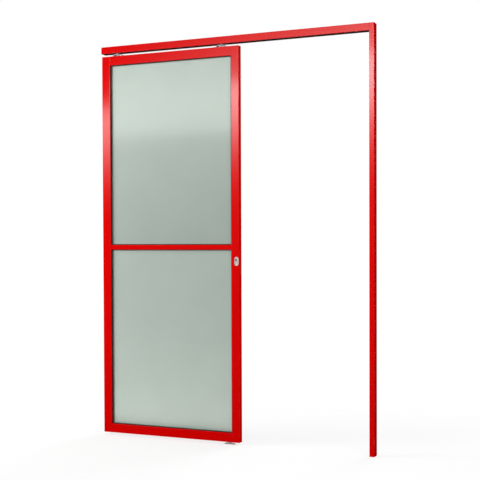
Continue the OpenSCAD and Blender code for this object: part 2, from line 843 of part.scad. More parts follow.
module one_stile_caps(face, web) {
    translate([leaf_x0, 0, leaf_z1]) mirror([0, 0, 1]) stile_end(face, web, stile_plug_h);
    difference() {
        translate([leaf_x0, 0, leaf_z0]) stile_end(face, web, stile_foot_h);
        guide_notch();
    }
}

module stile_caps() color(red) {
    one_stile_caps(frame_face, web_in);
    mirror_leaf() one_stile_caps(lock_face, lock_web_in);
}

// Leaf: glazing

module pane(z0, z1) {
    translate([rail_x0 - pane_bite, -glass_t / 2, z0 - pane_bite])
        cube([pane_w, glass_t, z1 - z0 + 2 * pane_bite]);
}

// Channel gasket that wraps the edge of a pane and fills the glazing groove
module gasket(z0, z1) {
    bite = groove_d - seat_gap;
    deep = groove_w - 2 * seat_gap;
    difference() {
        translate([rail_x0 - bite, -deep / 2, z0 - bite])
            cube([rail_l + 2 * bite, deep, z1 - z0 + 2 * bite]);
        translate([rail_x0 + gasket_sight, -deep, z0 + gasket_sight])
            cube([rail_l - 2 * gasket_sight, 2 * deep, z1 - z0 - 2 * gasket_sight]);
        pane(z0, z1);
    }
}

module upper_pane() color(glass) pane(up_pane_z0, up_pane_z1);

module lower_pane() color(glass) pane(low_pane_z0, low_pane_z1);

module upper_gasket() color(black) gasket(up_pane_z0, up_pane_z1);

module lower_gasket() color(black) gasket(low_pane_z0, low_pane_z1);

// Leaf: hangers

// Arch of height h over a span, with round shoulders, drawn in X and Z from the leaf's top
module arch(span, h, r) {
    translate([-span / 2, 0]) square([span, h - r]);
    translate([r - span / 2, 0]) square([span - 2 * r, h]);
    for (side = [-1, 1]) intersection() {
        translate([side * (span / 2 - r), h - r]) circle(r);
        translate([-span / 2, 0]) square([span, h]);
    }
}

module bridge_outline() {
    difference() {
        union() {
            arch(bridge_span, bridge_h, bridge_r);
            translate([-bridge_span / 2 - bridge_foot, 0]) square([bridge_span + 2 * bridge_foot, bridge_t]);
        }
        translate([0, -over])
            arch(bridge_span - 2 * bridge_t, bridge_h - bridge_t + over, bridge_r - bridge_t);
    }
}

module bridge(x) difference() {
    translate([x, 0, leaf_z1]) along_y(0, bridge_w) bridge_outline();
    translate([x, 0, leaf_z1]) cylinder(r = bolt_r + run_gap, h = 2 * bridge_h);
    at_bridge_screws() cylinder(r = bridge_screw_r + fit_gap, h = 2 * bridge_h, center = true);
}

module left_bridge() color(steel) bridge(hanger_xs[0]);

module right_bridge() color(steel) bridge(hanger_xs[1]);

module bridge_screws() color(steel) at_bridge_screws()
    pan_screw(bridge_screw_r, bridge_screw_head_r, bridge_screw_head_t, bridge_screw_l);

bolt_seat_z = leaf_z1 + bridge_h - bridge_t;
hex_r = bolt_d * hex_across_share / (2 * cos(30));

// Hanger bolt: its head hangs under the bridge, and its shank runs up into the carriage
module hanger_bolts() color(steel) for (x = hanger_xs) translate([x, 0, bolt_seat_z]) {
    mirror([0, 0, 1]) cylinder(r = hex_r, h = bolt_d * hex_head_share, $fn = 6);
    cylinder(r = bolt_r, h = axle_z + bolt_reach - bolt_seat_z);
}

module hanger_nuts() color(steel) for (x = hanger_xs) translate([x, 0, leaf_z1 + bridge_h]) difference() {
    cylinder(r = hex_r, h = bolt_d * thin_nut_share, $fn = 6);
    translate([0, 0, -over]) cylinder(r = bolt_r + fit_gap, h = bolt_d);
}

module carriage_outline() {
    square([carriage_l, carriage_bar_h], center = true);
    for (side = [-1, 1]) translate([side * wheel_pitch / 2, 0]) circle(carriage_ear_r);
    translate([-carriage_block_l / 2, -carriage_block_down])
        square([carriage_block_l, 2 * carriage_block_down]);
}

module at_axles(x) {
    for (side = [-1, 1]) translate([x + side * wheel_pitch / 2, 0, axle_z]) children();
}

module carriage(x) {
    boss_half = wheel_in - run_gap;
    difference() {
        union() {
            translate([x, 0, axle_z]) along_y(0, carriage_w) carriage_outline();
            at_axles(x) translate([0, -boss_half, 0]) rod_y(wheel_boss_r, 2 * boss_half);
        }
        at_axles(x) translate([0, -frame_d, 0]) rod_y(axle_r + fit_gap, 2 * frame_d);
        translate([x, 0, head_z0]) cylinder(r = bolt_r + fit_gap, h = head_h);
    }
}

module left_carriage() color(steel) carriage(hanger_xs[0]);

module right_carriage() color(steel) carriage(hanger_xs[1]);

// Riveted axle pins, four in all
module wheel_axles() color(steel) {
    pin_half = wheel_out + run_gap;
    for (x = hanger_xs) at_axles(x) {
        translate([0, -pin_half, 0]) rod_y(axle_r, 2 * pin_half);
        for (y = [-pin_half - axle_head_t, pin_half]) translate([0, y, 0]) rod_y(axle_head_r, axle_head_t);
    }
}

// Half section of a wheel: a groove rides on the track's bead, and each face is recessed round the hub
module wheel_section() {
    bore_r = axle_r + fit_gap;
    difference() {
        translate([bore_r, -wheel_w / 2]) square([wheel_r - bore_r, wheel_w]);
        translate([roll_r + bead_r, 0]) circle(bead_r + run_gap);
        for (y = [-wheel_w / 2 - over, wheel_w / 2 - wheel_recess])
            translate([wheel_web_r0, y]) square([wheel_web_r1 - wheel_web_r0, wheel_recess + over]);
    }
}

// Wheels 1 to 4 hang the leaf's left end and 5 to 8 its right end, each set left to right, front then back
module wheel(number) color(nylon) {
    place = number - 1;
    x = hanger_xs[floor(place / 4)] + (place % 2 == 0 ? -1 : 1) * wheel_pitch / 2;
    y = (floor(place / 2) % 2 == 0 ? -1 : 1) * bead_y;
    translate([x, y, axle_z]) rotate([90, 0, 0]) rotate_extrude() wheel_section();
}

// Leaf: lock

module case_pocket() {
    translate([
        lock_x - hook_boss_r - pocket_gap,
        -hook_t / 2 - pocket_gap,
        hook_z - hook_boss_r - pocket_gap
    ])
        cube([
            case_x1 - lock_x + hook_boss_r + pocket_gap + over,
            hook_t + 2 * pocket_gap,
            hook_boss_r + hook_reach + 2 * pocket_gap
        ]);
}

module at_faceplate_screws() {
    for (z = [faceplate_z0 + plate_screw_in, faceplate_z1 - plate_screw_in])
        translate([leaf_x1, 0, z]) rotate([0, 90, 0]) children();
}

module lock_case() color(steel) difference() {
    union() {
        translate([case_x0, -case_t / 2, case_z0]) cube([case_x1 - case_x0, case_t, case_z1 - case_z0]);
        translate([case_x1 - lug_l, -case_t / 2, faceplate_z0])
            cube([lug_l, case_t, faceplate_z1 - faceplate_z0]);
    }
    case_pocket();
    at_lock() along_y(0, 2 * case_t) cylinder_outline(run_gap);
    at_lock() translate([0, -cam_half - pocket_gap, 0])
        rod_y(cam_r + pocket_gap, 2 * (cam_half + pocket_gap));
    translate([lock_x, -case_t, hook_z]) rod_y(hook_pin_d / 2 + fit_gap, 2 * case_t);
    rose_screw_holes(2 * case_t);
    at_faceplate_screws() translate([0, 0, -plate_screw_l - over])
        cylinder(r = plate_screw_r + fit_gap, h = plate_screw_l + over);
}

module lock_faceplate() color(red) difference() {
    faceplate_blank(leaf_x1 - faceplate_t, faceplate_t, 0);
    hook_slot(leaf_x1 - faceplate_t - over, faceplate_t + 2 * over);
    at_faceplate_screws() sunk_hole(plate_screw_r + fit_gap, plate_screw_head_r, plate_screw_l);
}

module faceplate_screws() color(red) at_faceplate_screws()
    sunk_screw(plate_screw_r, plate_screw_head_r - fit_gap, plate_screw_l);

module hook_pin() color(steel) translate([lock_x, -case_t / 2, hook_z]) rod_y(hook_pin_d / 2, case_t);

// Hook bolt drawn inside the case: its arm points up, and its beak points to the leaf's edge
module hook_bolt() color(chrome) translate([lock_x, 0, hook_z]) along_y(0, hook_t) difference() {
    union() {
        circle(hook_boss_r);
        translate([-hook_neck, 0]) square([2 * hook_neck, hook_reach]);
        translate([-hook_neck, hook_reach - beak_w]) square([hook_neck + beak_drop, beak_w]);
    }
    circle(hook_pin_d / 2 + fit_gap);
}

module lock_cylinder() color(chrome) difference() {
    at_lock() along_y(0, 2 * cylinder_half) cylinder_outline(0);
    at_lock() translate([0, -2 * cylinder_half, 0]) rod_y(plug_r + fit_gap, 4 * cylinder_half);
    at_lock() translate([-cylinder_d, -cam_half - run_gap, -cam_r - run_gap])
        cube([2 * cylinder_d, 2 * (cam_half + run_gap), 2 * cylinder_d]);
}

// Turning plug from the cam to the front face, with its keyway
module plug() difference() {
    translate([0, -cylinder_half - plug_proud, 0]) rod_y(plug_r, cylinder_half + plug_proud - cam_half);
    translate([-keyway_w / 2, -cylinder_half - plug_proud - over, -keyway_h / 2])
        cube([keyway_w, keyway_d + over, keyway_h]);
}

module front_plug() color(chrome) at_lock() plug();

module rear_plug() color(chrome) at_lock() mirror([0, 1, 0]) plug();

module lock_cam() color(brass) at_lock() along_y(0, 2 * cam_half) {
    circle(cam_ring_r);
    translate([-cam_tab_w / 2, -cam_reach]) square([cam_tab_w, cam_reach]);
}

// Oval rose with a bevelled edge, lying on the plane z = 0
module rose() {
    flat = escutcheon_t - escutcheon_chamfer;
    half_w = escutcheon_w / 2;
    straight = escutcheon_h - escutcheon_w;
    linear_extrude(flat) stadium(escutcheon_w, escutcheon_h);
    translate([0, straight / 2, flat]) rotate([90, 0, 0]) linear_extrude(straight) polygon([
        [-half_w, 0], [half_w, 0],
        [half_w - escutcheon_chamfer, escutcheon_chamfer], [escutcheon_chamfer - half_w, escutcheon_chamfer]
    ]);
    for (side = [-1, 1]) translate([0, side * straight / 2, flat])
        cylinder(r1 = half_w, r2 = half_w - escutcheon_chamfer, h = escutcheon_chamfer);
}

module escutcheon() difference() {
    translate([lock_x, -leaf_t / 2, escutcheon_z]) rotate([90, 0, 0]) rose();
    at_lock() along_y(0, 4 * cylinder_half) cylinder_outline(run_gap);
}

// The front rose has blind holes for the screws, which go in from the back
module front_escutcheon() color(chrome) difference() {
    escutcheon();
    rose_screw_holes(leaf_t + 2 * rose_screw_bite + 2 * run_gap);
}

module rear_escutcheon() color(chrome) difference() {
    mirror([0, 1, 0]) escutcheon();
    rose_screw_holes(2 * leaf_t);
    at_rose_screws() translate([0, leaf_t / 2 + escutcheon_t - rose_screw_head_t, 0])
        rod_y(rose_screw_head_r + fit_gap, rose_screw_head_t + over);
}

module escutcheon_screws() color(chrome) at_rose_screws() {
    shank = leaf_t + rose_screw_bite + escutcheon_t - rose_screw_head_t;
    translate([0, -leaf_t / 2 - rose_screw_bite, 0]) rod_y(rose_screw_r, shank);
    translate([0, leaf_t / 2 + escutcheon_t - rose_screw_head_t, 0])
        rod_y(rose_screw_head_r, rose_screw_head_t);
}

head_cover();
running_track();
head_end_cap();
track_screws();
jamb_post();
jamb_top_cap();
jamb_foot();
jamb_seal();
strike_plate();
strike_screws();
corner_cleat();
corner_screws();
left_stop();
right_stop();
stop_buffers();
stop_screws();
guide_base();
guide_fin();
left_stile();
lock_stile();
top_rail();
mid_rail();
bottom_rail();
upper_pane();
lower_pane();
upper_gasket();
lower_gasket();
rail_cleats();
frame_screws();
access_plugs();
stile_caps();
left_bridge();
right_bridge();
bridge_screws();
hanger_bolts();
hanger_nuts();
left_carriage();
right_carriage();
wheel_axles();
lock_case();
lock_faceplate();
faceplate_screws();
hook_pin();
lock_cylinder();
front_escutcheon();
rear_escutcheon();
escutcheon_screws();
front_plug();
rear_plug();
lock_cam();
hook_bolt();
wheel(1);  // wheel_1
wheel(2);  // wheel_2
wheel(3);  // wheel_3
wheel(4);  // wheel_4
wheel(5);  // wheel_5
wheel(6);  // wheel_6
wheel(7);  // wheel_7
wheel(8);  // wheel_8
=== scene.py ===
"""Dresses a top-hung sliding door: finishes, screws, threads, gasket lips and a plain studio."""

import logging
import math
from dataclasses import dataclass
from enum import Enum
from typing import Any, Dict, List, Optional, Sequence, Tuple, Union

import bmesh
import bpy
from mathutils import Matrix, Vector


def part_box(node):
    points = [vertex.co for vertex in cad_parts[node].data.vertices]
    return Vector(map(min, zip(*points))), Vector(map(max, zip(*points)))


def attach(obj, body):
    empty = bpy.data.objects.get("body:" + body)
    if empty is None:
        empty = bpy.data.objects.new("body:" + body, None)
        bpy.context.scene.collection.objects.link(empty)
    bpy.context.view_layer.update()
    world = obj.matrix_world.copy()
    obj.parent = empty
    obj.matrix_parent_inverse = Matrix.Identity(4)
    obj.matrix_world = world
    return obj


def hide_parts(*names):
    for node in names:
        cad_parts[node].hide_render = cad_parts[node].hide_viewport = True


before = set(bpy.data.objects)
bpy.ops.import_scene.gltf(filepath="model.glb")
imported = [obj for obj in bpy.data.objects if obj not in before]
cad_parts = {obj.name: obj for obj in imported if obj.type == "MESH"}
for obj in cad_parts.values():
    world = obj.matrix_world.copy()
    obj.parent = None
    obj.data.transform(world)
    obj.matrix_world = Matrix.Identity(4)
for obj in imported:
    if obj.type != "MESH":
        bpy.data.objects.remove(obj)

LOG = logging.getLogger("sliding_door")
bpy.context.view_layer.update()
MM = 0.001
E = math.e
QUARTER = math.pi / 2
NOISE_MIDDLE = 0.5
CORNER_STEPS = 5
SCREW_SIDES = 28
RECESS_TAPER = 0.86
SOLID_MERGE = 1e-6
NUT_MERGE = 1e-7

Colour = Tuple[float, float, float]
Point = Tuple[float, float, float]
Pair = Tuple[float, float]


class Body(Enum):
    """The CAD bodies that a new piece can ride on."""

    FRAME = "frame"
    LEAF = "leaf"


class Slot(Enum):
    """The record's material slots, and the key plugs' dull finish, which is partly painted shade
    for the keyway.
    """

    COAT = "red_coat"
    TRACK = "black_anodised"
    RUBBER = "black_rubber"
    GLASS = "frosted_glass"
    ZINC = "zinc_steel"
    CHROME = "bright_chrome"
    BRASS = "brass"
    NYLON = "white_nylon"
    PLUG = "dull_nickel"


class Drive(Enum):
    """Shapes of the recess in a screw's head."""

    CROSS = "cross"
    HEX_SOCKET = "hex_socket"


class Axis(Enum):
    """The axes along which a node's solids are sorted."""

    ACROSS = 0
    UP = 2


class Wire:
    """A value in a node tree that adds Math nodes when it is used in arithmetic."""

    def __init__(self, tree: "Tree", socket: bpy.types.NodeSocket) -> None:
        """Wraps one output socket.

        Args:
            tree: The tree that the socket is in.
            socket: The output socket.
        """
        self.tree = tree
        self.socket = socket

    def _math(self, operation: str, first: Any, second: Any) -> "Wire":
        """Adds one Math node.

        Args:
            operation: The Math node's operation.
            first: A wire or a number.
            second: A wire or a number.

        Returns:
            The node's result.
        """
        made = self.tree.node("ShaderNodeMath", {"operation": operation}, {0: first, 1: second})
        return Wire(self.tree, made.outputs[0])

    def __add__(self, other: Any) -> "Wire":
        """Adds a wire or a number."""
        return self._math("ADD", self, other)

    def __radd__(self, other: Any) -> "Wire":
        """Adds to a number."""
        return self._math("ADD", other, self)

    def __sub__(self, other: Any) -> "Wire":
        """Takes a wire or a number away."""
        return self._math("SUBTRACT", self, other)

    def __rsub__(self, other: Any) -> "Wire":
        """Is taken from a number."""
        return self._math("SUBTRACT", other, self)

    def __mul__(self, other: Any) -> "Wire":
        """Multiplies by a wire or a number."""
        return self._math("MULTIPLY", self, other)

    def __rmul__(self, other: Any) -> "Wire":
        """Multiplies a number."""
        return self._math("MULTIPLY", other, self)

    def __truediv__(self, other: Any) -> "Wire":
        """Divides by a wire or a number."""
        return self._math("DIVIDE", self, other)

    def __rtruediv__(self, other: Any) -> "Wire":
        """Divides a number."""
        return self._math("DIVIDE", other, self)

    def __pow__(self, other: Any) -> "Wire":
        """Raises to a power."""
        return self._math("POWER", self, other)

    def __rpow__(self, other: Any) -> "Wire":
        """Is the power of a number."""
        return self._math("POWER", other, self)

    def at_most(self, other: Any) -> "Wire":
        """Gives the smaller of this and another value."""
        return self._math("MINIMUM", self, other)

    def at_least(self, other: Any) -> "Wire":
        """Gives the larger of this and another value."""
        return self._math("MAXIMUM", self, other)

    def ease(self, low: float, high: float) -> "Wire":
        """Runs smoothly from 0 at low to 1 at high.

        Args:
            low: The value that gives 0.
            high: The value that gives 1.

        Returns:
            The eased value.
        """
        sockets = {0: self, 1: low, 2: high, 3: 0.0, 4: 1.0}
        made = self.tree.node("ShaderNodeMapRange", {"interpolation_type": "SMOOTHSTEP"}, sockets)
        return Wire(self.tree, made.outputs[0])


class Tree:
    """A node tree with one method that adds any node."""

    def __init__(self, tree: bpy.types.NodeTree) -> None:
        """Takes over a tree and empties it.

        Args:
            tree: A material's, world's or geometry tree.
        """
        self.tree = tree
        tree.nodes.clear()

    def node(
        self,
        kind: str,
        settings: Optional[Dict[str, Any]] = None,
        sockets: Optional[Dict[Any, Any]] = None,
    ) -> bpy.types.Node:
        """Adds a node.

        Args:
            kind: The node's type.
            settings: Its own settings, which are set first.
            sockets: Input names or numbers, each with a value, a wire or an output socket.

        Returns:
            The new node.
        """
        made = self.tree.nodes.new(kind)
        for name, value in (settings or {}).items():
            setattr(made, name, value)
        for name, value in (sockets or {}).items():
            if isinstance(value, Wire):
                value = value.socket
            if isinstance(value, bpy.types.NodeSocket):
                self.tree.links.new(value, made.inputs[name])
            else:
                made.inputs[name].default_value = value
        return made

    def out(self, node: bpy.types.Node, name: Union[int, str] = 0) -> Wire:
        """Wraps a node's output."""
        return Wire(self, node.outputs[name])


class Shader(Tree):
    """A material's tree with the few helpers that the finishes and the studio share."""

    def __init__(self, name: str) -> None:
        """Makes an empty material.

        Args:
            name: The material's name.
        """
        self.material = bpy.data.materials.new(name)
        self.material.use_nodes = True
        super().__init__(self.material.node_tree)
        self.place = self.node("ShaderNodeTexCoord").outputs["Object"]

    def noise(self, scale: float, detail: float, stretch: Point = (1.0, 1.0, 1.0)) -> Wire:
        """Gives soft noise in the object's own space.

        Args:
            scale: Waves to a metre.
            detail: Octaves.
            stretch: Scales along each axis.

        Returns:
            Noise from about 0 to 1.
        """
        sockets = {"Vector": self.place, "Scale": stretch}
        place = self.node("ShaderNodeMapping", None, sockets).outputs[0]
        sockets = {"Vector": place, "Scale": scale, "Detail": detail}
        return self.out(self.node("ShaderNodeTexNoise", None, sockets))

    def cells(self, scale: float) -> Wire:
        """Gives the distance from the middles of cells in the object's own space.

        Args:
            scale: Cells to a metre.

        Returns:
            The distance, as a share of a cell.
        """
        sockets = {"Vector": self.place, "Scale": scale}
        return self.out(self.node("ShaderNodeTexVoronoi", None, sockets), "Distance")

    def flat(self) -> Tuple[Wire, Wire]:
        """Gives the object's coordinates across and up."""
        split = self.node("ShaderNodeSeparateXYZ", None, {0: self.place})
        return self.out(split, "X"), self.out(split, "Z")

    def blend(self, share: Wire, first: Colour, second: Colour) -> bpy.types.NodeSocket:
        """Mixes two colours.

        Args:
            share: How much of the second colour shows.
            first: The first colour.
            second: The second colour.

        Returns:
            The mixed colour.
        """
        settings = {"data_type": "RGBA", "clamp_factor": True}
        sockets = {0: share, 6: (*first, 1.0), 7: (*second, 1.0)}
        return self.node("ShaderNodeMix", settings, sockets).outputs[2]

    def bump(self, height: Wire, strength: float, distance: float) -> bpy.types.NodeSocket:
        """Turns a height into a normal.

        Args:
            height: The height from 0 to 1.
            strength: The bump's strength.
            distance: The height of 1, in metres.

        Returns:
            The bumped normal.
        """
        sockets = {"Strength": strength, "Distance": distance, "Height": height}
        return self.node("ShaderNodeBump", None, sockets).outputs[0]

    def mixed(self, share: Any, first: bpy.types.Node, second: bpy.types.Node) -> bpy.types.Node:
        """Mixes two shaders.

        Args:
            share: How much of the second shows: a number, a wire or an output socket.
            first: The first shader's node.
            second: The second shader's node.

        Returns:
            The node that mixes them.
        """
        sockets = {0: share, 1: first.outputs[0], 2: second.outputs[0]}
        return self.node("ShaderNodeMixShader", None, sockets)

    def surface(self, shown: bpy.types.Node) -> bpy.types.Material:
        """Ends the material in a shader's node."""
        self.node("ShaderNodeOutputMaterial", None, {"Surface": shown.outputs[0]})
        return self.material

    def close(self, sockets: Dict[str, Any]) -> bpy.types.Material:
        """Ends the material in one Principled shader.

        Args:
            sockets: The shader's inputs.

        Returns:
            The finished material.
        """
        return self.surface(self.node("ShaderNodeBsdfPrincipled", None, sockets))

    def shine(self, strength: Wire, tint: Colour) -> bpy.types.Material:
        """Ends the material in light alone.

        Args:
            strength: How strongly it glows.
            tint: The glow's colour.

        Returns:
            The finished material.
        """
        scaled = {0: tint, "Scale": strength}
        shade = self.node("ShaderNodeVectorMath", {"operation": "SCALE"}, scaled).outputs["Vector"]
        lit = self.node("ShaderNodeEmission", None, {"Color": shade, "Strength": 1.0})
        return self.surface(lit)


def grey(level: float) -> Tuple[float, float, float, float]:
    """Gives an opaque grey."""
    return (level, level, level, 1.0)


# A pair in a finish is a noise's waves to a metre and its octaves, the two ends of a mix, or the
# strength and depth of a bump.


@dataclass(frozen=True)
class PowderCoat:
    """Smooth, glossy red powder coat with a faint orange peel."""

    slot: Slot = Slot.COAT
    colour: Colour = (0.74, 0.0006, 0.0006)
    deep: Colour = (0.70, 0.0004, 0.0004)
    cloud: Pair = (3.0, 3.0)
    cloud_mix: Pair = (0.25, 0.75)
    peel: Pair = (420.0, 2.0)
    peel_share: float = 0.8
    grain: Pair = (1900.0, 1.0)
    grain_share: float = 0.2
    smear: Pair = (14.0, 4.0)
    roughness: float = 0.08
    spread: float = 0.03
    ior: float = 1.5
    relief: Pair = (0.012, 0.2 * MM)

    def make(self) -> bpy.types.Material:
        """Builds the material.

        Returns:
            The finished material.
        """
        shader = Shader("red_powder_coat")
        shade = shader.noise(*self.cloud).ease(*self.cloud_mix)
        peel, grain = shader.noise(*self.peel), shader.noise(*self.grain)
        height = peel * self.peel_share + grain * self.grain_share
        smear = shader.noise(*self.smear) - NOISE_MIDDLE
        return shader.close(
            {
                "Base Color": shader.blend(shade, self.colour, self.deep),
                "Roughness": self.roughness + self.spread * smear,
                "IOR": self.ior,
                "Normal": shader.bump(height, *self.relief),
            }
        )


@dataclass(frozen=True)
class BlackAnodised:
    """Black anodised extrusion with fine draw lines along its length."""

    slot: Slot = Slot.TRACK
    colour: Colour = (0.005, 0.005, 0.0055)
    pale: Colour = (0.010, 0.010, 0.0105)
    lines: Pair = (900.0, 2.0)
    along: Point = (0.01, 1.0, 1.0)
    line_mix: Pair = (0.3, 0.7)
    roughness: float = 0.42
    spread: float = 0.12
    gloss: float = 0.2
    relief: Pair = (0.12, 0.2 * MM)

    def make(self) -> bpy.types.Material:
        """Builds the material.

        Returns:
            The finished material.
        """
        shader = Shader("black_anodised_track")
        lines = shader.noise(*self.lines, self.along)
        return shader.close(
            {
                "Base Color": shader.blend(lines.ease(*self.line_mix), self.colour, self.pale),
                "Roughness": self.roughness + self.spread * lines,
                "Specular IOR Level": self.gloss,
                "Normal": shader.bump(lines, *self.relief),
            }
        )


@dataclass(frozen=True)
class FrostedGlass:
    """Satin etched glass, pale grey-green, that lets blurred light through."""

    slot: Slot = Slot.GLASS
    colour: Colour = (0.400, 0.490, 0.430)
    pale: Colour = (0.415, 0.505, 0.445)
    etch: Pair = (2600.0, 1.0)
    cloud: Pair = (5.0, 3.0)
    cloud_mix: Pair = (0.3, 0.7)
    clear: float = 0.5
    frost: float = 0.30
    spread: float = 0.05
    ior: float = 1.5
    relief: Pair = (0.04, 0.2 * MM)

    def make(self) -> bpy.types.Material:
        """Builds the material.

        Returns:
            The finished material.
        """
        shader = Shader("frosted_glass")
        cloud = shader.noise(*self.cloud)
        return shader.close(
            {
                "Base Color": shader.blend(cloud.ease(*self.cloud_mix), self.colour, self.pale),
                "Roughness": self.frost + self.spread * (cloud - NOISE_MIDDLE),
                "IOR": self.ior,
                "Transmission Weight": self.clear,
                "Normal": shader.bump(shader.noise(*self.etch), *self.relief),
            }
        )


@dataclass(frozen=True)
class BlackRubber:
    """Matt black rubber with a fine moulded grain."""

    slot: Slot = Slot.RUBBER
    colour: Colour = (0.008, 0.008, 0.008)
    dusty: Colour = (0.018, 0.018, 0.017)
    dust: Pair = (60.0, 3.0)
    dust_mix: Pair = (0.35, 0.8)
    grain: Pair = (1500.0, 2.0)
    roughness: float = 0.62
    spread: float = 0.12
    gloss: float = 0.25
    relief: Pair = (0.2, 0.3 * MM)

    def make(self) -> bpy.types.Material:
        """Builds the material.

        Returns:
            The finished material.
        """
        shader = Shader("black_rubber")
        dust = shader.noise(*self.dust).ease(*self.dust_mix)
        grain = shader.noise(*self.grain)
        return shader.close(
            {
                "Base Color": shader.blend(dust, self.colour, self.dusty),
                "Roughness": self.roughness + self.spread * grain,
                "Specular IOR Level": self.gloss,
                "Normal": shader.bump(grain, *self.relief),
            }
        )


@dataclass(frozen=True)
class ZincPlate:
    """Bright zinc plate with a soft spangle."""

    slot: Slot = Slot.ZINC
    colour: Colour = (0.72, 0.73, 0.74)
    dull: Colour = (0.60, 0.61, 0.63)
    spangle_scale: float = 210.0
    spangle_gain: float = 1.4
    spangle_spread: float = 0.06
    smear: Pair = (90.0, 3.0)
    metal: float = 0.9
    metal_spread: float = 0.08
    roughness: float = 0.46
    spread: float = 0.14
    relief: Pair = (0.05, 0.2 * MM)

    def make(self) -> bpy.types.Material:
        """Builds the material.

        Returns:
            The finished material.
        """
        shader = Shader("zinc_plate")
        spangle = shader.cells(self.spangle_scale)
        smear = shader.noise(*self.smear)
        shade = (spangle * self.spangle_gain).at_most(1.0)
        rough = self.roughness + self.spread * (smear - NOISE_MIDDLE)
        return shader.close(
            {
                "Base Color": shader.blend(shade, self.colour, self.dull),
                "Metallic": self.metal + self.metal_spread * smear,
                "Roughness": rough + self.spangle_spread * spangle,
                "Normal": shader.bump(smear, *self.relief),
            }
        )


@dataclass(frozen=True)
class SatinChrome:
    """Bright chrome plate, faintly brushed."""

    slot: Slot = Slot.CHROME
    colour: Colour = (0.94, 0.94, 0.94)
    dull: Colour = (0.87, 0.87, 0.87)
    brush: Pair = (1400.0, 2.0)
    along: Point = (1.0, 1.0, 0.05)
    smear: Pair = (120.0, 3.0)
    smear_mix: Pair = (0.3, 0.8)
    metal: float = 0.92
    metal_spread: float = 0.06
    roughness: float = 0.32
    spread: float = 0.10
    relief: Pair = (0.03, 0.1 * MM)

    def make(self) -> bpy.types.Material:
        """Builds the material.

        Returns:
            The finished material.
        """
        shader = Shader("satin_chrome")
        brush = shader.noise(*self.brush, self.along)
        smear = shader.noise(*self.smear)
        return shader.close(
            {
                "Base Color": shader.blend(smear.ease(*self.smear_mix), self.colour, self.dull),
                "Metallic": self.metal + self.metal_spread * smear,
                "Roughness": self.roughness + self.spread * brush,
                "Normal": shader.bump(brush, *self.relief),
            }
        )


@dataclass(frozen=True)
class DullNickelAndKeywayShade:
    """Dull nickel plate, worn in places, with a fine grain, and kept dark partly as painted shade
    for the shadow in the keyway.
    """

    slot: Slot = Slot.PLUG
    # Darker than the chrome round it: partly a dull nickel colour, partly painted shade standing
    # in for the keyway's shadow.
    colour: Colour = (0.50, 0.47, 0.44)
    worn: Colour = (0.36, 0.34, 0.32)
    smear: Pair = (300.0, 3.0)
    smear_mix: Pair = (0.3, 0.7)
    grain: Pair = (1800.0, 1.0)
    metal: float = 0.90
    metal_spread: float = 0.08
    roughness: float = 0.36
    spread: float = 0.10
    relief: Pair = (0.04, 0.1 * MM)

    def make(self) -> bpy.types.Material:
        """Builds the material.

        Returns:
            The finished material.
        """
        shader = Shader("dull_nickel")
        smear = shader.noise(*self.smear)
        grain = shader.noise(*self.grain)
        return shader.close(
            {
                "Base Color": shader.blend(smear.ease(*self.smear_mix), self.colour, self.worn),
                "Metallic": self.metal + self.metal_spread * smear,
                "Roughness": self.roughness + self.spread * grain,
                "Normal": shader.bump(grain, *self.relief),
            }
        )


@dataclass(frozen=True)
class PlainBrass:
    """Plain brass with faint smears."""

    slot: Slot = Slot.BRASS
    colour: Colour = (0.60, 0.42, 0.14)
    dull: Colour = (0.46, 0.31, 0.10)
    smear: Pair = (160.0, 3.0)
    smear_mix: Pair = (0.3, 0.75)
    metal: float = 0.94
    metal_spread: float = 0.05
    roughness: float = 0.26
    spread: float = 0.14

    def make(self) -> bpy.types.Material:
        """Builds the material.

        Returns:
            The finished material.
        """
        shader = Shader("plain_brass")
        smear = shader.noise(*self.smear)
        return shader.close(
            {
                "Base Color": shader.blend(smear.ease(*self.smear_mix), self.colour, self.dull),
                "Metallic": self.metal + self.metal_spread * smear,
                "Roughness": self.roughness + self.spread * smear,
            }
        )


@dataclass(frozen=True)
class WhiteNylon:
    """Off-white nylon with faint flow marks."""

    slot: Slot = Slot.NYLON
    colour: Colour = (0.70, 0.69, 0.64)
    warm: Colour = (0.62, 0.60, 0.53)
    flow: Pair = (140.0, 4.0)
    flow_mix: Pair = (0.3, 0.75)
    grain: Pair = (900.0, 2.0)
    roughness: float = 0.40
    spread: float = 0.14
    relief: Pair = (0.06, 0.3 * MM)

    def make(self) -> bpy.types.Material:
        """Builds the material.

        Returns:
            The finished material.
        """
        shader = Shader("white_nylon")
        flow = shader.noise(*self.flow)
        return shader.close(
            {
                "Base Color": shader.blend(flow.ease(*self.flow_mix), self.colour, self.warm),
                "Roughness": self.roughness + self.spread * flow,
                "Normal": shader.bump(shader.noise(*self.grain), *self.relief),
            }
        )


Finish = Union[
    PowderCoat,
    BlackAnodised,
    FrostedGlass,
    BlackRubber,
    ZincPlate,
    SatinChrome,
    DullNickelAndKeywayShade,
    PlainBrass,
    WhiteNylon,
]


class Palette:
    """Every finish, made once, by its slot."""

    def __init__(self) -> None:
        """Makes all materials."""
        finishes: List[Finish] = [
            PowderCoat(),
            BlackAnodised(),
            FrostedGlass(),
            BlackRubber(),
            ZincPlate(),
            SatinChrome(),
            DullNickelAndKeywayShade(),
            PlainBrass(),
            WhiteNylon(),
        ]
        self.materials: Dict[Slot, bpy.types.Material] = {f.slot: f.make() for f in finishes}

    def dress(self, slot: Slot, nodes: Sequence[str]) -> None:
        """Gives CAD nodes a finish.

        Args:
            slot: The finish's slot.
            nodes: The nodes' names.
        """
        for name in nodes:
            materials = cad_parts[name].data.materials
            materials.clear()
            materials.append(self.materials[slot])
            LOG.info("dressed %s in %s", name, slot.value)


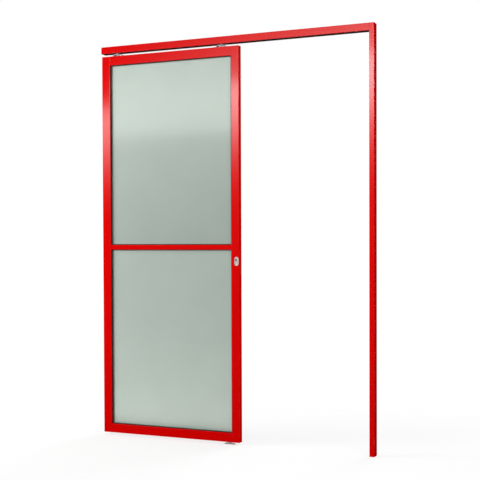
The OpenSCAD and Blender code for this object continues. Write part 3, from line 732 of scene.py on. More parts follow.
class Rig(Tree):
    """A geometry tree with named inputs that ends in real mesh with one material."""

    def __init__(self, name: str, inputs: Dict[str, Tuple[str, Any]]) -> None:
        """Makes the tree and its inputs.

        Args:
            name: The tree's name.
            inputs: Input names, each with a socket type and a value.
        """
        group = bpy.data.node_groups.new(name, "GeometryNodeTree")
        super().__init__(group)
        self.group = group
        group.interface.new_socket("Geometry", in_out="INPUT", socket_type="NodeSocketGeometry")
        self.values: Dict[str, Any] = {}
        for label, (kind, value) in inputs.items():
            socket = group.interface.new_socket(label, in_out="INPUT", socket_type=kind)
            self.values[socket.identifier] = value
        group.interface.new_socket("Geometry", in_out="OUTPUT", socket_type="NodeSocketGeometry")
        self.start = self.node("NodeGroupInput")

    def given(self, name: str) -> bpy.types.NodeSocket:
        """Gives one of the tree's inputs."""
        return self.start.outputs[name]

    def rounded_rectangle(self, width: str, height: str, radius: str) -> bpy.types.NodeSocket:
        """Draws a rectangle with round corners.

        Args:
            width: The name of the input for its width.
            height: The name of the input for its height.
            radius: The name of the input for its corners' radius.

        Returns:
            The closed curve, flat on XY.
        """
        sides = {0: self.given(width), 1: self.given(height)}
        plain = self.node("GeometryNodeCurvePrimitiveQuadrilateral", {"mode": "RECTANGLE"}, sides)
        corners = {"Curve": plain.outputs[0], "Radius": self.given(radius), "Count": CORNER_STEPS}
        return self.node("GeometryNodeFilletCurve", {"mode": "POLY"}, corners).outputs[0]

    def repeat(self, shape: bpy.types.NodeSocket, **turned: Any) -> bpy.types.NodeSocket:
        """Puts a shape on every point.

        Args:
            shape: The shape.
            turned: Its Rotation, where it is turned.

        Returns:
            The shapes as instances.
        """
        sockets = {"Points": self.given("Geometry"), "Instance": shape, **turned}
        return self.node("GeometryNodeInstanceOnPoints", None, sockets).outputs[0]

    def end(self, geometry: bpy.types.NodeSocket, material: bpy.types.Material) -> None:
        """Ends the tree.

        Args:
            geometry: What the tree made.
            material: The finish of all of it.
        """
        real = self.node("GeometryNodeRealizeInstances", None, {0: geometry})
        sockets = {"Geometry": real.outputs[0], "Material": material}
        painted = self.node("GeometryNodeSetMaterial", None, sockets)
        self.node("NodeGroupOutput", None, {0: painted.outputs[0]})

    def grow(self, name: str, points: Sequence[Point]) -> bpy.types.Object:
        """Runs the tree on a set of points and keeps the result as a plain mesh.

        Args:
            name: The new piece's name.
            points: Where the tree puts its instances, in metres.

        Returns:
            The new piece, at the origin.
        """
        seed = bpy.data.meshes.new(name + "_points")
        seed.from_pydata([tuple(p) for p in points], [], [])
        host = bpy.data.objects.new(name + "_host", seed)
        bpy.context.scene.collection.objects.link(host)
        modifier = host.modifiers.new("rig", "NODES")
        modifier.node_group = self.group
        for identifier, value in self.values.items():
            modifier[identifier] = value
        ready = host.evaluated_get(bpy.context.evaluated_depsgraph_get())
        mesh = bpy.data.meshes.new_from_object(ready)
        host.modifiers.remove(modifier)
        bpy.data.objects.remove(host)
        mesh.name = name
        piece = bpy.data.objects.new(name, mesh)
        bpy.context.scene.collection.objects.link(piece)
        return piece


def plant(
    name: str,
    model: bpy.types.Object,
    points: Sequence[Point],
    aim: Point,
    finish: bpy.types.Material,
) -> bpy.types.Object:
    """Repeats a model on a set of points.

    Args:
        name: The new piece's name.
        model: What is repeated. It is removed afterwards.
        points: Where the models' origins are, in metres.
        aim: Euler turns of the models, in radians.
        finish: The models' material.

    Returns:
        All of them as one piece.
    """
    inputs = {"Model": ("NodeSocketObject", model), "Aim": ("NodeSocketVector", aim)}
    rig = Rig(name + "_rig", inputs)
    sockets = {"Object": rig.given("Model")}
    shape = rig.node("GeometryNodeObjectInfo", {"transform_space": "ORIGINAL"}, sockets)
    turn = rig.node("FunctionNodeEulerToRotation", None, {0: rig.given("Aim")})
    rig.end(rig.repeat(shape.outputs["Geometry"], Rotation=turn.outputs[0]), finish)
    bpy.context.scene.collection.objects.link(model)
    piece = rig.grow(name, points)
    bpy.data.objects.remove(model)
    return piece


def loose_object(name: str, bm: bmesh.types.BMesh) -> bpy.types.Object:
    """Turns a bmesh's faces outwards and makes it an object.

    Args:
        name: The object's name.
        bm: The bmesh, which is freed.

    Returns:
        An object that isn't linked to the scene.
    """
    bmesh.ops.recalc_face_normals(bm, faces=bm.faces)
    mesh = bpy.data.meshes.new(name)
    bm.to_mesh(mesh)
    bm.free()
    return bpy.data.objects.new(name, mesh)


def turned_screw(
    name: str, rings: Sequence[Pair], recess: Sequence[Pair], depth: float
) -> bpy.types.Object:
    """Turns a screw about Z, with a recess in its flat top.

    Args:
        name: The mesh object's name.
        rings: Radius and height of each ring, from the top's rim down to the tip.
        recess: The recess outline about the axis.
        depth: The recess's depth.

    Returns:
        An object that isn't linked to the scene.
    """
    bm = bmesh.new()
    angles = [2 * math.pi * i / SCREW_SIDES for i in range(SCREW_SIDES)]
    loops = []
    for radius, height in rings:
        corners = [(radius * math.cos(a), radius * math.sin(a), height) for a in angles]
        loops.append([bm.verts.new(corner) for corner in corners])
    for upper, lower in zip(loops, loops[1:]):
        for i in range(SCREW_SIDES):
            j = (i + 1) % SCREW_SIDES
            bm.faces.new((upper[i], lower[i], lower[j], upper[j]))
    bm.faces.new(loops[-1][::-1])
    top = rings[0][1]
    mouth = [bm.verts.new((x, y, top)) for x, y in recess]
    foot = [(RECESS_TAPER * x, RECESS_TAPER * y, top - depth) for x, y in recess]
    floor = [bm.verts.new(corner) for corner in foot]
    for i in range(len(recess)):
        j = (i + 1) % len(recess)
        bm.faces.new((mouth[i], mouth[j], floor[j], floor[i]))
    bm.faces.new(floor)
    rims = []
    for loop in (loops[0], mouth):
        rims += [bm.edges.get(ends) for ends in zip(loop, loop[1:] + loop[:1])]
    bmesh.ops.triangle_fill(bm, edges=rims, use_beauty=True)
    return loose_object(name, bm)


# A pan head's half outline, from its flat top down: shares of its radius and height.
PAN_CROWN = ((0.70, 1.0), (0.84, 0.94), (0.93, 0.80), (0.985, 0.58), (1.0, 0.32), (1.0, 0.0))


@dataclass
class Screw:
    """A screw with a real recess, drawn along -Z with its seat or its flush top at the origin.

    The fields that end in share are shares of the head's radius, but point_share and tip_share are
    shares of the shank's, and depth_share is one of the head's height.
    """

    name: str
    shank_r: float
    head_r: float
    length: float
    head_t: float = 0.0
    drive: Drive = Drive.CROSS
    socket_share: float = 0.58
    arm_share: float = 0.56
    arm_half_share: float = 0.12
    edge_share: float = 0.03
    point_share: float = 0.6
    tip_share: float = 0.55
    depth_share: float = 0.55

    def recess(self) -> List[Pair]:
        """Draws the recess outline.

        Returns:
            Its corners in turn, about the axis.
        """
        if self.drive is Drive.HEX_SOCKET:
            reach = self.socket_share * self.head_r
            angles = [math.radians(a) for a in range(0, 360, 60)]
            return [(reach * math.cos(a), reach * math.sin(a)) for a in angles]
        arm, half = self.arm_share * self.head_r, self.arm_half_share * self.head_r
        quarter = [(arm, -half), (arm, half), (half, half)]
        outline: List[Pair] = []
        for turn in range(4):
            c, s = round(math.cos(turn * QUARTER)), round(math.sin(turn * QUARTER))
            outline += [(c * x - s * y, s * x + c * y) for x, y in quarter]
        return outline

    def rings(self) -> List[Pair]:
        """Draws the half outline: a pan head, or a flush cone where the head has no height.

        Returns:
            Radius and height of each ring, from the top's rim down to the tip.
        """
        point = (self.shank_r, -self.length + self.point_share * self.shank_r)
        tip = [point, (self.tip_share * self.shank_r, -self.length)]
        if self.head_t > 0:
            crown = [(self.head_r * r, self.head_t * h) for r, h in PAN_CROWN]
            return crown + [(self.shank_r, 0.0)] + tip
        edge = self.edge_share * self.head_r
        cone = self.shank_r - self.head_r
        return [(self.head_r - edge, 0.0), (self.head_r, -edge), (self.shank_r, cone - edge)] + tip

    def plant(
        self, points: Sequence[Point], aim: Point, finish: bpy.types.Material
    ) -> bpy.types.Object:
        """Repeats the screw on a set of points.

        Args:
            points: Where the screws' seats are, in metres.
            aim: Euler turns from +Z to the heads' direction, in radians.
            finish: The screws' material.

        Returns:
            All screws as one piece.
        """
        height = self.head_t if self.head_t > 0 else self.head_r - self.shank_r
        depth = self.depth_share * height
        model = turned_screw(self.name + "_model", self.rings(), self.recess(), depth)
        return plant(self.name, model, points, aim, finish)


def settle(piece: bpy.types.Object, body: Body, replaced: Sequence[str] = ()) -> None:
    """Parents a finished piece to its body, and hides the CAD nodes that it stands for.

    Args:
        piece: The piece, at the origin.
        body: The body that it rides on.
        replaced: The CAD nodes that it stands for.
    """
    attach(piece, body.value)
    if replaced:
        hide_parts(*replaced)
    LOG.info("built %s on %s, %d faces", piece.name, body.value, len(piece.data.polygons))


def centres(node: str, along: Axis) -> List[Vector]:
    """Finds the middle of each separate solid of a CAD node.

    Args:
        node: The node's name.
        along: The axis that the solids are sorted along first.

    Returns:
        The middles of the solids' boxes, sorted.
    """
    bm = bmesh.new()
    bm.from_mesh(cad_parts[node].data)
    bmesh.ops.remove_doubles(bm, verts=bm.verts, dist=SOLID_MERGE)
    seen: set = set()
    found: List[Vector] = []
    for start in bm.verts:
        if start in seen:
            continue
        stack, low, high = [start], Vector((math.inf,) * 3), Vector((-math.inf,) * 3)
        seen.add(start)
        while stack:
            vert = stack.pop()
            low = Vector(map(min, low, vert.co))
            high = Vector(map(max, high, vert.co))
            for edge in vert.link_edges:
                other = edge.other_vert(vert)
                if other not in seen:
                    seen.add(other)
                    stack.append(other)
        found.append((low + high) / 2)
    bm.free()
    return sorted(found, key=lambda p: (p[along.value], p.x, p.y))


@dataclass
class Head:
    """The head: red cover and end cap, the black track in it, and the screws on top."""

    palette: Palette
    screw_r: float = 2.4 * MM
    screw_head_r: float = 4.35 * MM
    screw_l: float = 7.0 * MM

    def build(self) -> None:
        """Builds the countersunk screws of the track."""
        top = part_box("track_screws")[1].z
        points = [(p.x, p.y, top) for p in centres("track_screws", Axis.ACROSS)]
        screw = Screw("track_screw_heads", self.screw_r, self.screw_head_r, self.screw_l)
        piece = screw.plant(points, (0.0, 0.0, 0.0), self.palette.materials[Slot.ZINC])
        settle(piece, Body.FRAME, ["track_screws"])

    def dress(self) -> None:
        """Finishes the head's nodes."""
        self.palette.dress(Slot.COAT, ["head_cover", "head_end_cap"])
        self.palette.dress(Slot.TRACK, ["running_track"])
        self.palette.dress(Slot.ZINC, ["track_screws", "corner_cleat", "corner_screws"])
        self.palette.dress(Slot.ZINC, ["left_stop", "right_stop", "stop_screws"])
        self.palette.dress(Slot.RUBBER, ["stop_buffers"])


@dataclass
class JambPost:
    """The jamb post with its end plates, hollow seal and strike plate."""

    palette: Palette
    screw_r: float = 1.9 * MM
    screw_head_r: float = 3.55 * MM
    screw_l: float = 9.0 * MM

    def build(self) -> None:
        """Builds the strike plate's screws."""
        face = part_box("strike_screws")[0].x
        points = [(face, p.y, p.z) for p in centres("strike_screws", Axis.UP)]
        screw = Screw("strike_screw_heads", self.screw_r, self.screw_head_r, self.screw_l)
        piece = screw.plant(points, (0.0, -QUARTER, 0.0), self.palette.materials[Slot.ZINC])
        settle(piece, Body.FRAME, ["strike_screws"])

    def dress(self) -> None:
        """Finishes the jamb's nodes."""
        self.palette.dress(Slot.COAT, ["jamb_post", "jamb_top_cap", "jamb_foot"])
        self.palette.dress(Slot.RUBBER, ["jamb_seal"])
        self.palette.dress(Slot.ZINC, ["strike_plate", "strike_screws"])


@dataclass
class FloorGuide:
    """The plate and fin that keep the leaf's foot in line."""

    palette: Palette

    def dress(self) -> None:
        """Finishes the guide's nodes."""
        self.palette.dress(Slot.ZINC, ["guide_base"])
        self.palette.dress(Slot.NYLON, ["guide_fin"])


@dataclass
class LeafFrame:
    """The leaf's stiles, rails and end caps."""

    palette: Palette

    def dress(self) -> None:
        """Finishes the leaf's nodes."""
        self.palette.dress(Slot.COAT, ["left_stile", "lock_stile"])
        self.palette.dress(Slot.COAT, ["top_rail", "mid_rail", "bottom_rail"])
        self.palette.dress(Slot.COAT, ["access_plugs", "stile_caps"])
        self.palette.dress(Slot.ZINC, ["rail_cleats", "frame_screws"])


@dataclass
class Glazing:
    """The two frosted panes and the gaskets round them."""

    palette: Palette
    lip_w: float = 4.2 * MM
    lip_t: float = 1.2 * MM
    lip_sink: float = 5.5 * MM
    edge_r: float = 0.4 * MM
    corner_r: float = 2.0 * MM

    def _lips(self, name: str, below: str, above: str) -> None:
        """Runs a flat rubber lip round one pane's opening, below the leaf's front and rear faces.

        Args:
            name: The new piece's name.
            below: The rail under the pane.
            above: The rail over the pane.
        """
        left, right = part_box("left_stile")[1].x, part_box("lock_stile")[0].x
        bottom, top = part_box(below)[1].z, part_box(above)[0].z
        inputs = {
            "Width": ("NodeSocketFloat", right - left - self.lip_w),
            "Height": ("NodeSocketFloat", top - bottom - self.lip_w),
            "Corner radius": ("NodeSocketFloat", self.corner_r),
            "Lip width": ("NodeSocketFloat", self.lip_w),
            "Lip thickness": ("NodeSocketFloat", self.lip_t),
            "Edge radius": ("NodeSocketFloat", self.edge_r),
        }
        rig = Rig(name + "_rig", inputs)
        path = rig.rounded_rectangle("Width", "Height", "Corner radius")
        upright = rig.node("GeometryNodeSetCurveNormal", {"mode": "Z_UP"}, {"Curve": path})
        profile = rig.rounded_rectangle("Lip width", "Lip thickness", "Edge radius")
        curves = {"Curve": upright.outputs[0], "Profile Curve": profile}
        lip = rig.node("GeometryNodeCurveToMesh", None, curves)
        turned = {"Geometry": lip.outputs[0], "Rotation": (QUARTER, 0.0, 0.0)}
        stood = rig.node("GeometryNodeTransform", None, turned)
        rig.end(rig.repeat(stood.outputs[0]), self.palette.materials[Slot.RUBBER])
        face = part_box("left_stile")[1].y - self.lip_sink - self.lip_t / 2
        points = [((left + right) / 2, side * face, (bottom + top) / 2) for side in (-1, 1)]
        settle(rig.grow(name, points), Body.LEAF)

    def build(self) -> None:
        """Builds the gasket lips of both panes."""
        self._lips("upper_gasket_lips", "mid_rail", "top_rail")
        self._lips("lower_gasket_lips", "bottom_rail", "mid_rail")

    def dress(self) -> None:
        """Finishes the panes and gaskets."""
        self.palette.dress(Slot.GLASS, ["upper_pane", "lower_pane"])
        self.palette.dress(Slot.RUBBER, ["upper_gasket", "lower_gasket"])


@dataclass
class Hangers:
    """The bridges, bolts, nuts, carriages and wheels that carry the leaf."""

    palette: Palette
    bolt_r: float = 4.0 * MM
    pitch: float = 1.25 * MM
    ridge: float = 0.42 * MM
    ridge_sides: int = 5
    turn_steps: int = 28
    thread_gap: float = 0.3 * MM
    bridge_t: float = 2.5 * MM
    screw_r: float = 2.4 * MM
    screw_head_r: float = 4.6 * MM
    screw_head_t: float = 2.6 * MM
    screw_l: float = 12.0 * MM
    nut_half: float = 6.5 * MM
    nut_sides: int = 48
    nut_slope: float = 0.58
    nut_gap: float = 0.05 * MM
    nut_mouth: float = 0.5 * MM
    wheels: int = 8

    def _threads(self) -> None:
        """Winds a thread on the free length of each hanger bolt."""
        nuts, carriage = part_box("hanger_nuts"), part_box("left_carriage")
        low, high = nuts[1].z + self.thread_gap, carriage[0].z - self.thread_gap
        inputs = {
            "Turns": ("NodeSocketFloat", (high - low) / self.pitch),
            "Length": ("NodeSocketFloat", high - low),
            "Radius": ("NodeSocketFloat", self.bolt_r),
            "Ridge": ("NodeSocketFloat", self.ridge),
        }
        rig = Rig("bolt_thread_rig", inputs)
        winding = {
            "Resolution": self.turn_steps,
            "Rotations": rig.given("Turns"),
            "Start Radius": rig.given("Radius"),
            "End Radius": rig.given("Radius"),
            "Height": rig.given("Length"),
        }
        spiral = rig.node("GeometryNodeCurveSpiral", None, winding)
        ring = {"Resolution": self.ridge_sides, "Radius": rig.given("Ridge")}
        profile = rig.node("GeometryNodeCurvePrimitiveCircle", None, ring)
        curves = {"Curve": spiral.outputs[0], "Profile Curve": profile.outputs[0]}
        ridge = rig.node("GeometryNodeCurveToMesh", None, {**curves, "Fill Caps": True})
        rig.end(rig.repeat(ridge.outputs[0]), self.palette.materials[Slot.ZINC])
        points = [(p.x, p.y, low) for p in centres("hanger_nuts", Axis.ACROSS)]
        settle(rig.grow("hanger_bolt_threads", points), Body.LEAF)

    def _screws(self) -> None:
        """Builds the pan head screws of the bridges."""
        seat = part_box("left_bridge")[0].z + self.bridge_t
        points = [(p.x, p.y, seat) for p in centres("bridge_screws", Axis.ACROSS)]
        sizes = (self.screw_r, self.screw_head_r, self.screw_l, self.screw_head_t)
        screw = Screw("bridge_screw_set", *sizes, Drive.HEX_SOCKET)
        piece = screw.plant(points, (0.0, 0.0, 0.0), self.palette.materials[Slot.ZINC])
        settle(piece, Body.LEAF, ["bridge_screws"])

    def _nut(self, height: float) -> bpy.types.Object:
        """Draws one thin hexagon nut with turned corners and a chamfered bore.

        Args:
            height: The nut's height.

        Returns:
            An object that isn't linked to the scene.
        """
        count, across, bore = self.nut_sides, self.nut_half, self.bolt_r + self.nut_gap
        mouth = bore + self.nut_mouth
        turns = [2 * math.pi * i / count for i in range(count)]
        reach = [across / math.cos((a % (math.pi / 3)) - math.pi / 6) for a in turns]
        cuts = [(r - across) * self.nut_slope for r in reach]
        rings = (
            ([bore] * count, [self.nut_mouth] * count),
            ([mouth] * count, [0.0] * count),
            ([across] * count, [0.0] * count),
            (reach, cuts),
            (reach, [height - cut for cut in cuts]),
            ([across] * count, [height] * count),
            ([mouth] * count, [height] * count),
            ([bore] * count, [height - self.nut_mouth] * count),
        )
        bm = bmesh.new()
        loops = []
        for radii, heights in rings:
            rows = zip(turns, radii, heights)
            corners = [(r * math.cos(a), r * math.sin(a), z) for a, r, z in rows]
            loops.append([bm.verts.new(corner) for corner in corners])
        for first, second in zip(loops, loops[1:] + loops[:1]):
            for i in range(count):
                j = (i + 1) % count
                bm.faces.new((first[i], first[j], second[j], second[i]))
        bmesh.ops.remove_doubles(bm, verts=bm.verts, dist=NUT_MERGE)
        return loose_object("hanger_nut_model", bm)

    def _nuts(self) -> None:
        """Builds the thin lock nuts of both bolts."""
        low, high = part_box("hanger_nuts")
        points = [(p.x, p.y, low.z) for p in centres("hanger_nuts", Axis.ACROSS)]
        model, finish = self._nut(high.z - low.z), self.palette.materials[Slot.ZINC]
        piece = plant("hanger_nut_pair", model, points, (0.0, 0.0, 0.0), finish)
        settle(piece, Body.LEAF, ["hanger_nuts"])

    def build(self) -> None:
        """Builds the hangers' small hardware."""
        self._threads()
        self._screws()
        self._nuts()

    def dress(self) -> None:
        """Finishes the hangers' nodes."""
        plain = ["left_bridge", "right_bridge", "bridge_screws", "hanger_bolts", "hanger_nuts"]
        self.palette.dress(Slot.ZINC, plain + ["left_carriage", "right_carriage", "wheel_axles"])
        self.palette.dress(Slot.NYLON, [f"wheel_{n + 1}" for n in range(self.wheels)])


@dataclass
class Lock:
    """The hook lock with its profile cylinder and oval roses."""

    palette: Palette
    rose_screw_r: float = 1.25 * MM
    rose_head_r: float = 2.1 * MM
    rose_head_t: float = 1.8 * MM
    plate_screw_r: float = 1.9 * MM
    plate_head_r: float = 3.55 * MM
    plate_screw_l: float = 9.0 * MM

    def _plate_screws(self) -> None:
        """Builds the countersunk screws of the faceplate."""
        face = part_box("faceplate_screws")[1].x
        points = [(face, p.y, p.z) for p in centres("faceplate_screws", Axis.UP)]
        sizes = (self.plate_screw_r, self.plate_head_r, self.plate_screw_l)
        screw = Screw("faceplate_screw_heads", *sizes)
        piece = screw.plant(points, (0.0, QUARTER, 0.0), self.palette.materials[Slot.COAT])
        settle(piece, Body.LEAF, ["faceplate_screws"])

    def _rose_screws(self) -> None:
        """Builds the pan head screws of the rear rose."""
        low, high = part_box("escutcheon_screws")
        seat = high.y - self.rose_head_t
        points = [(p.x, seat, p.z) for p in centres("escutcheon_screws", Axis.UP)]
        length = high.y - low.y - self.rose_head_t
        sizes = (self.rose_screw_r, self.rose_head_r, length, self.rose_head_t)
        screw = Screw("rose_screw_set", *sizes, Drive.HEX_SOCKET)
        piece = screw.plant(points, (-QUARTER, 0.0, 0.0), self.palette.materials[Slot.CHROME])
        settle(piece, Body.LEAF, ["escutcheon_screws"])

    def build(self) -> None:
        """Builds the screws of the faceplate and of the rear rose."""
        self._plate_screws()
        self._rose_screws()

    def dress(self) -> None:
        """Finishes the lock's nodes."""
        bright = ["lock_cylinder", "front_escutcheon", "rear_escutcheon", "escutcheon_screws"]
        self.palette.dress(Slot.CHROME, bright)
        # The plugs' dark finish is partly painted shade for the keyway.
        self.palette.dress(Slot.PLUG, ["front_plug", "rear_plug"])
        self.palette.dress(Slot.COAT, ["lock_faceplate", "faceplate_screws"])
        self.palette.dress(Slot.ZINC, ["lock_case", "hook_pin", "hook_bolt"])
        self.palette.dress(Slot.BRASS, ["lock_cam"])


def quad(name: str, corners: Sequence[Point], material: bpy.types.Material) -> bpy.types.Object:
    """Makes a flat studio piece.

    Args:
        name: The piece's name.
        corners: Its four corners in turn.
        material: Its finish.

    Returns:
        The piece, linked to the scene.
    """
    mesh = bpy.data.meshes.new(name)
    mesh.from_pydata(corners, [], [(0, 1, 2, 3)])
    mesh.materials.append(material)
    made = bpy.data.objects.new(name, mesh)
    bpy.context.scene.collection.objects.link(made)
    return made


@dataclass(frozen=True)
class Lamp:
    """A soft lamp that gloss doesn't mirror: its place, aim, width and height, and watts."""

    name: str
    place: Point
    aim: Point
    size: Pair
    power: float

    def hang(self) -> None:
        """Hangs the lamp in the scene."""
        data = bpy.data.lights.new(self.name, "AREA")
        data.shape, data.energy = "RECTANGLE", self.power
        data.size, data.size_y = self.size
        lamp = bpy.data.objects.new(self.name, data)
        lamp.location = self.place
        ahead = Vector(self.aim) - Vector(self.place)
        lamp.rotation_euler = ahead.to_track_quat("-Z", "Y").to_euler()
        lamp.visible_camera = False
        lamp.visible_glossy = False
        bpy.context.scene.collection.objects.link(lamp)


LAMPS = (
    Lamp("left", (-3.2, -1.6, 1.90), (-0.5, 0.0, 1.5), (1.6, 1.8), 80.0),
    Lamp("right", (1.3, -1.2, 1.48), (0.6, 0.0, 1.3), (1.2, 1.8), 8.6),
    Lamp("back", (1.2, 4.6, 3.4), (0.0, 0.0, 1.1), (2.6, 2.2), 110.0),
)


@dataclass(frozen=True)
class Card:
    """An upright studio card: its half width, its low and high edge, and which rays meet it."""

    half: float
    low: float
    high: float
    gloss: bool
    through: bool

    def stand(self, name: str, material: bpy.types.Material, y: float) -> None:
        """Stands the card up, along the door, to be seen in gloss or through glass alone.

        Args:
            name: The card's name.
            material: Its glow.
            y: Where it stands, from front to back.
        """
        half, low, high = self.half, self.low, self.high
        corners = [(-half, y, low), (half, y, low), (half, y, high), (-half, y, high)]
        sheet = quad(name, corners, material)
        sheet.visible_camera = False
        sheet.visible_diffuse = False
        sheet.visible_shadow = False
        sheet.visible_glossy = self.gloss
        sheet.visible_transmission = self.through


GLOSS_CARD = Card(9.0, -4.0, 5.0, True, False)
GLASS_CARD = Card(2.4, -1.0, 3.4, False, True)


@dataclass(frozen=True)
class GlossBand:
    """One soft glowing band high on a dark card, with haze above it and a tail below.

    The fields that end in more are added in full where the card's right share is 1.
    """

    left: float = -3.9
    run: float = 3.2
    right_most: float = 1.2
    height: float = 2.475
    height_more: float = 0.381
    upper: float = 0.13
    lower: float = 0.50
    lower_more: float = 0.04
    strength: float = 5.2
    strength_more: float = 3.0
    haze: float = 0.05
    haze_more: float = 6.0
    haze_fall: float = 0.378
    haze_start: float = 0.3
    tail_more: float = 2.0
    tail_fall: float = 0.50
    back_fade: Pair = (-1.2, -0.2)

    def glow(self, shader: Shader, behind: bool) -> Wire:
        """Draws the band.

        Args:
            shader: The card's material.
            behind: Whether the card is behind the door, where the band's right part is left out.

        Returns:
            The glow's strength.
        """
        across, up = shader.flat()
        right = ((across - self.left) / self.run).at_least(0.0).at_most(self.right_most)
        off = up - (self.height + self.height_more * right)
        low, high = off.at_most(0.0), off.at_least(0.0)
        above = E ** (0.0 - (high / self.upper) ** 2)
        below = E ** (0.0 - (low / (self.lower + self.lower_more * right)) ** 2)
        band = (self.strength + self.strength_more * right) * below * above
        haze = (self.haze + self.haze_more * right) * E ** (0.0 - high / self.haze_fall)
        haze = haze * (high / self.haze_start).at_most(1.0)
        tail = self.tail_more * right * E ** (low / self.tail_fall) * above
        glow = band + haze + tail
        return glow * (1 - across.ease(*self.back_fade)) if behind else glow


@dataclass(frozen=True)
class PaneGlow:
    """The light behind the panes: brighter to the left, at the top and below the middle rail."""

    away: float = 0.35
    tint: Colour = (1.0, 0.88, 0.925)
    level: float = 1.22
    slope: float = 0.74
    middle: float = -0.37
    crown: float = 1.65
    crown_rise: Pair = (1.60, 1.73)
    crown_fall: Pair = (1.85, 2.05)
    crown_loss: float = 0.2
    rail: Pair = (1.04, 1.06)
    foot: float = 0.64
    foot_more: float = 2.05
    foot_top: float = 1.0

    def glow(self, shader: Shader, eye: Point) -> Wire:
        """Draws the pattern, spread so that it lies on the panes as seen from one place.

        Args:
            shader: The screen's material.
            eye: That place.

        Returns:
            The glow's strength.
        """
        x, z = shader.flat()
        reach = 1 + self.away / -eye[1]
        across = (x + eye[0] * (reach - 1)) / reach
        up = (z + eye[2] * (reach - 1)) / reach
        crown = up.ease(*self.crown_rise) * (1 - self.crown_loss * up.ease(*self.crown_fall))
        depth = (self.foot_top - up).at_least(0.0)
        foot = (1 - up.ease(*self.rail)) * (self.foot + self.foot_more * depth ** 2)
        return self.level + self.crown * crown + foot - self.slope * (across - self.middle)


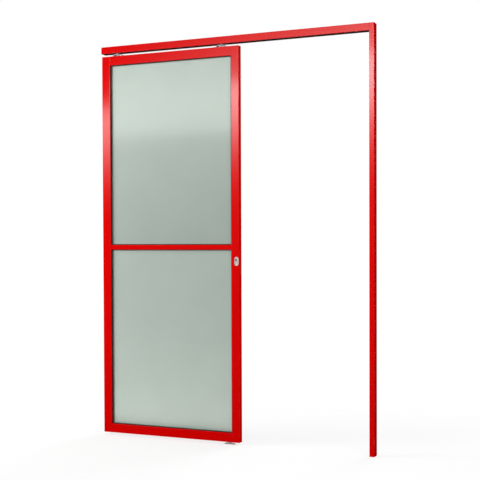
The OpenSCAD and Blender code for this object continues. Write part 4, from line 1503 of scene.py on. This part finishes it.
@dataclass
class Studio:
    """A pale floor, a white surround, soft lamps, cards for gloss and glass, and the camera."""

    eye: Point = (2.17037, -4.84982, 1.08568)
    yaw: float = 23.6609
    pitch: float = -1.1611
    roll: float = -0.2041
    lens: float = 75.0
    sensor: float = 36.0
    shift: float = 0.0431
    clip: Pair = (0.05, 100.0)
    fill: float = 0.62
    floor_half: float = 3.2
    floor_drop: float = 0.5 * MM
    floor_bounce: float = 0.50
    floor_pale: float = 0.96
    floor_white: float = 0.7
    fade_start: float = 0.9
    fade_share: float = 0.8
    flag_x: float = 4.4
    flag_y: Pair = (-1.5, 4.2)
    flag_z: Pair = (0.6, 1.8)
    flag_grey: float = 0.02
    card_away: float = 5.0

    def camera(self) -> None:
        """Places the camera at the photograph's angle."""
        data = bpy.data.cameras.new("camera")
        data.lens, data.sensor_width, data.shift_y = self.lens, self.sensor, self.shift
        data.clip_start, data.clip_end = self.clip
        eye = bpy.data.objects.new("camera", data)
        yaw, pitch, roll = (math.radians(a) for a in (self.yaw, self.pitch, self.roll))
        flat = math.cos(pitch)
        ahead = Vector((-math.sin(yaw) * flat, math.cos(yaw) * flat, math.sin(pitch)))
        level = Vector((math.cos(yaw), math.sin(yaw), 0.0))
        upward = level.cross(ahead)
        right = level * math.cos(roll) + upward * math.sin(roll)
        up = upward * math.cos(roll) - level * math.sin(roll)
        eye.location = self.eye
        eye.rotation_euler = Matrix((right, up, -ahead)).transposed().to_euler()
        bpy.context.scene.collection.objects.link(eye)
        bpy.context.scene.camera = eye

    def world(self) -> None:
        """Makes the surround: white where it is seen or mirrored, and a soft fill elsewhere."""
        world = bpy.data.worlds.new("surround")
        world.use_nodes = True
        bpy.context.scene.world = world
        tree = Tree(world.node_tree)
        rays = tree.node("ShaderNodeLightPath")
        seen = tree.out(rays, "Is Camera Ray").at_least(tree.out(rays, "Is Transmission Ray"))
        seen = seen.at_least(tree.out(rays, "Is Glossy Ray"))
        level = seen + (1 - seen) * self.fill
        light = tree.node("ShaderNodeBackground", None, {"Color": grey(1.0), "Strength": level})
        tree.node("ShaderNodeOutputWorld", None, {"Surface": light.outputs[0]})

    def floor(self) -> None:
        """Lays a pale floor that keeps a faint shadow and fades into the white surround."""
        shader = Shader("pale_floor")
        length = shader.node("ShaderNodeVectorMath", {"operation": "LENGTH"}, {0: shader.place})
        far = shader.out(length, "Value")
        paint = shader.node("ShaderNodeBsdfDiffuse", None, {"Color": grey(self.floor_bounce)})
        pale = shader.node("ShaderNodeBsdfDiffuse", None, {"Color": grey(self.floor_pale)})
        white = shader.node("ShaderNodeEmission", None, {"Color": grey(1.0), "Strength": 1.0})
        shown = shader.mixed(self.floor_white, pale, white)
        looked = shader.node("ShaderNodeLightPath").outputs["Is Camera Ray"]
        solid = shader.mixed(looked, paint, shown)
        clear = shader.node("ShaderNodeBsdfTransparent")
        fade = far.ease(self.fade_start, self.floor_half * self.fade_share)
        shader.surface(shader.mixed(fade, solid, clear))
        h, z = self.floor_half, -self.floor_drop
        corners = [(-h, -h, z), (h, -h, z), (h, h, z), (-h, h, z)]
        slab = quad("floor", corners, shader.material)
        slab.visible_glossy = False

    def flag(self) -> None:
        """Stands a dark panel far at the right, which keeps soft light off the faces there."""
        shader = Shader("flag_black")
        shader.surface(shader.node("ShaderNodeBsdfDiffuse", None, {"Color": grey(self.flag_grey)}))
        x, (near, far), (low, high) = self.flag_x, self.flag_y, self.flag_z
        corners = [(x, near, low), (x, far, low), (x, far, high), (x, near, high)]
        panel = quad("flag", corners, shader.material)
        panel.visible_camera = False
        panel.visible_glossy = False
        panel.visible_transmission = False

    def gloss_card(self, name: str, side: float) -> None:
        """Stands a dark card with one soft glowing band high up, for the coat to mirror.

        Args:
            name: The card's name.
            side: -1 in front of the door and 1 behind it.
        """
        shader = Shader(name + "_glow")
        glow = shader.shine(GlossBand().glow(shader, side > 0), (1.0, 1.0, 1.0))
        GLOSS_CARD.stand(name, glow, side * self.card_away)

    def glass_screen(self) -> None:
        """Stands a lit screen behind the leaf that only the frosted panes show."""
        shader, light = Shader("glass_screen_glow"), PaneGlow()
        glow = shader.shine(light.glow(shader, self.eye), light.tint)
        GLASS_CARD.stand("glass_screen", glow, light.away)

    def build(self) -> None:
        """Sets the whole studio up."""
        bpy.context.scene.view_settings.view_transform = "Standard"
        self.camera()
        self.world()
        self.floor()
        for lamp in LAMPS:
            lamp.hang()
        self.flag()
        self.gloss_card("front_card", -1.0)
        self.gloss_card("back_card", 1.0)
        self.glass_screen()
        LOG.info("studio ready")


def main() -> None:
    """Builds and dresses every sub-assembly, then the studio."""
    logging.basicConfig(level=logging.INFO, format="%(name)s: %(message)s")
    palette = Palette()
    built = (Head(palette), JambPost(palette), Glazing(palette), Hangers(palette), Lock(palette))
    for assembly in built:
        assembly.dress()
        assembly.build()
        LOG.info("finished %s", type(assembly).__name__)
    for plain in (LeafFrame(palette), FloorGuide(palette)):
        plain.dress()
        LOG.info("finished %s", type(plain).__name__)
    Studio().build()


if __name__ == "__main__":
    main()
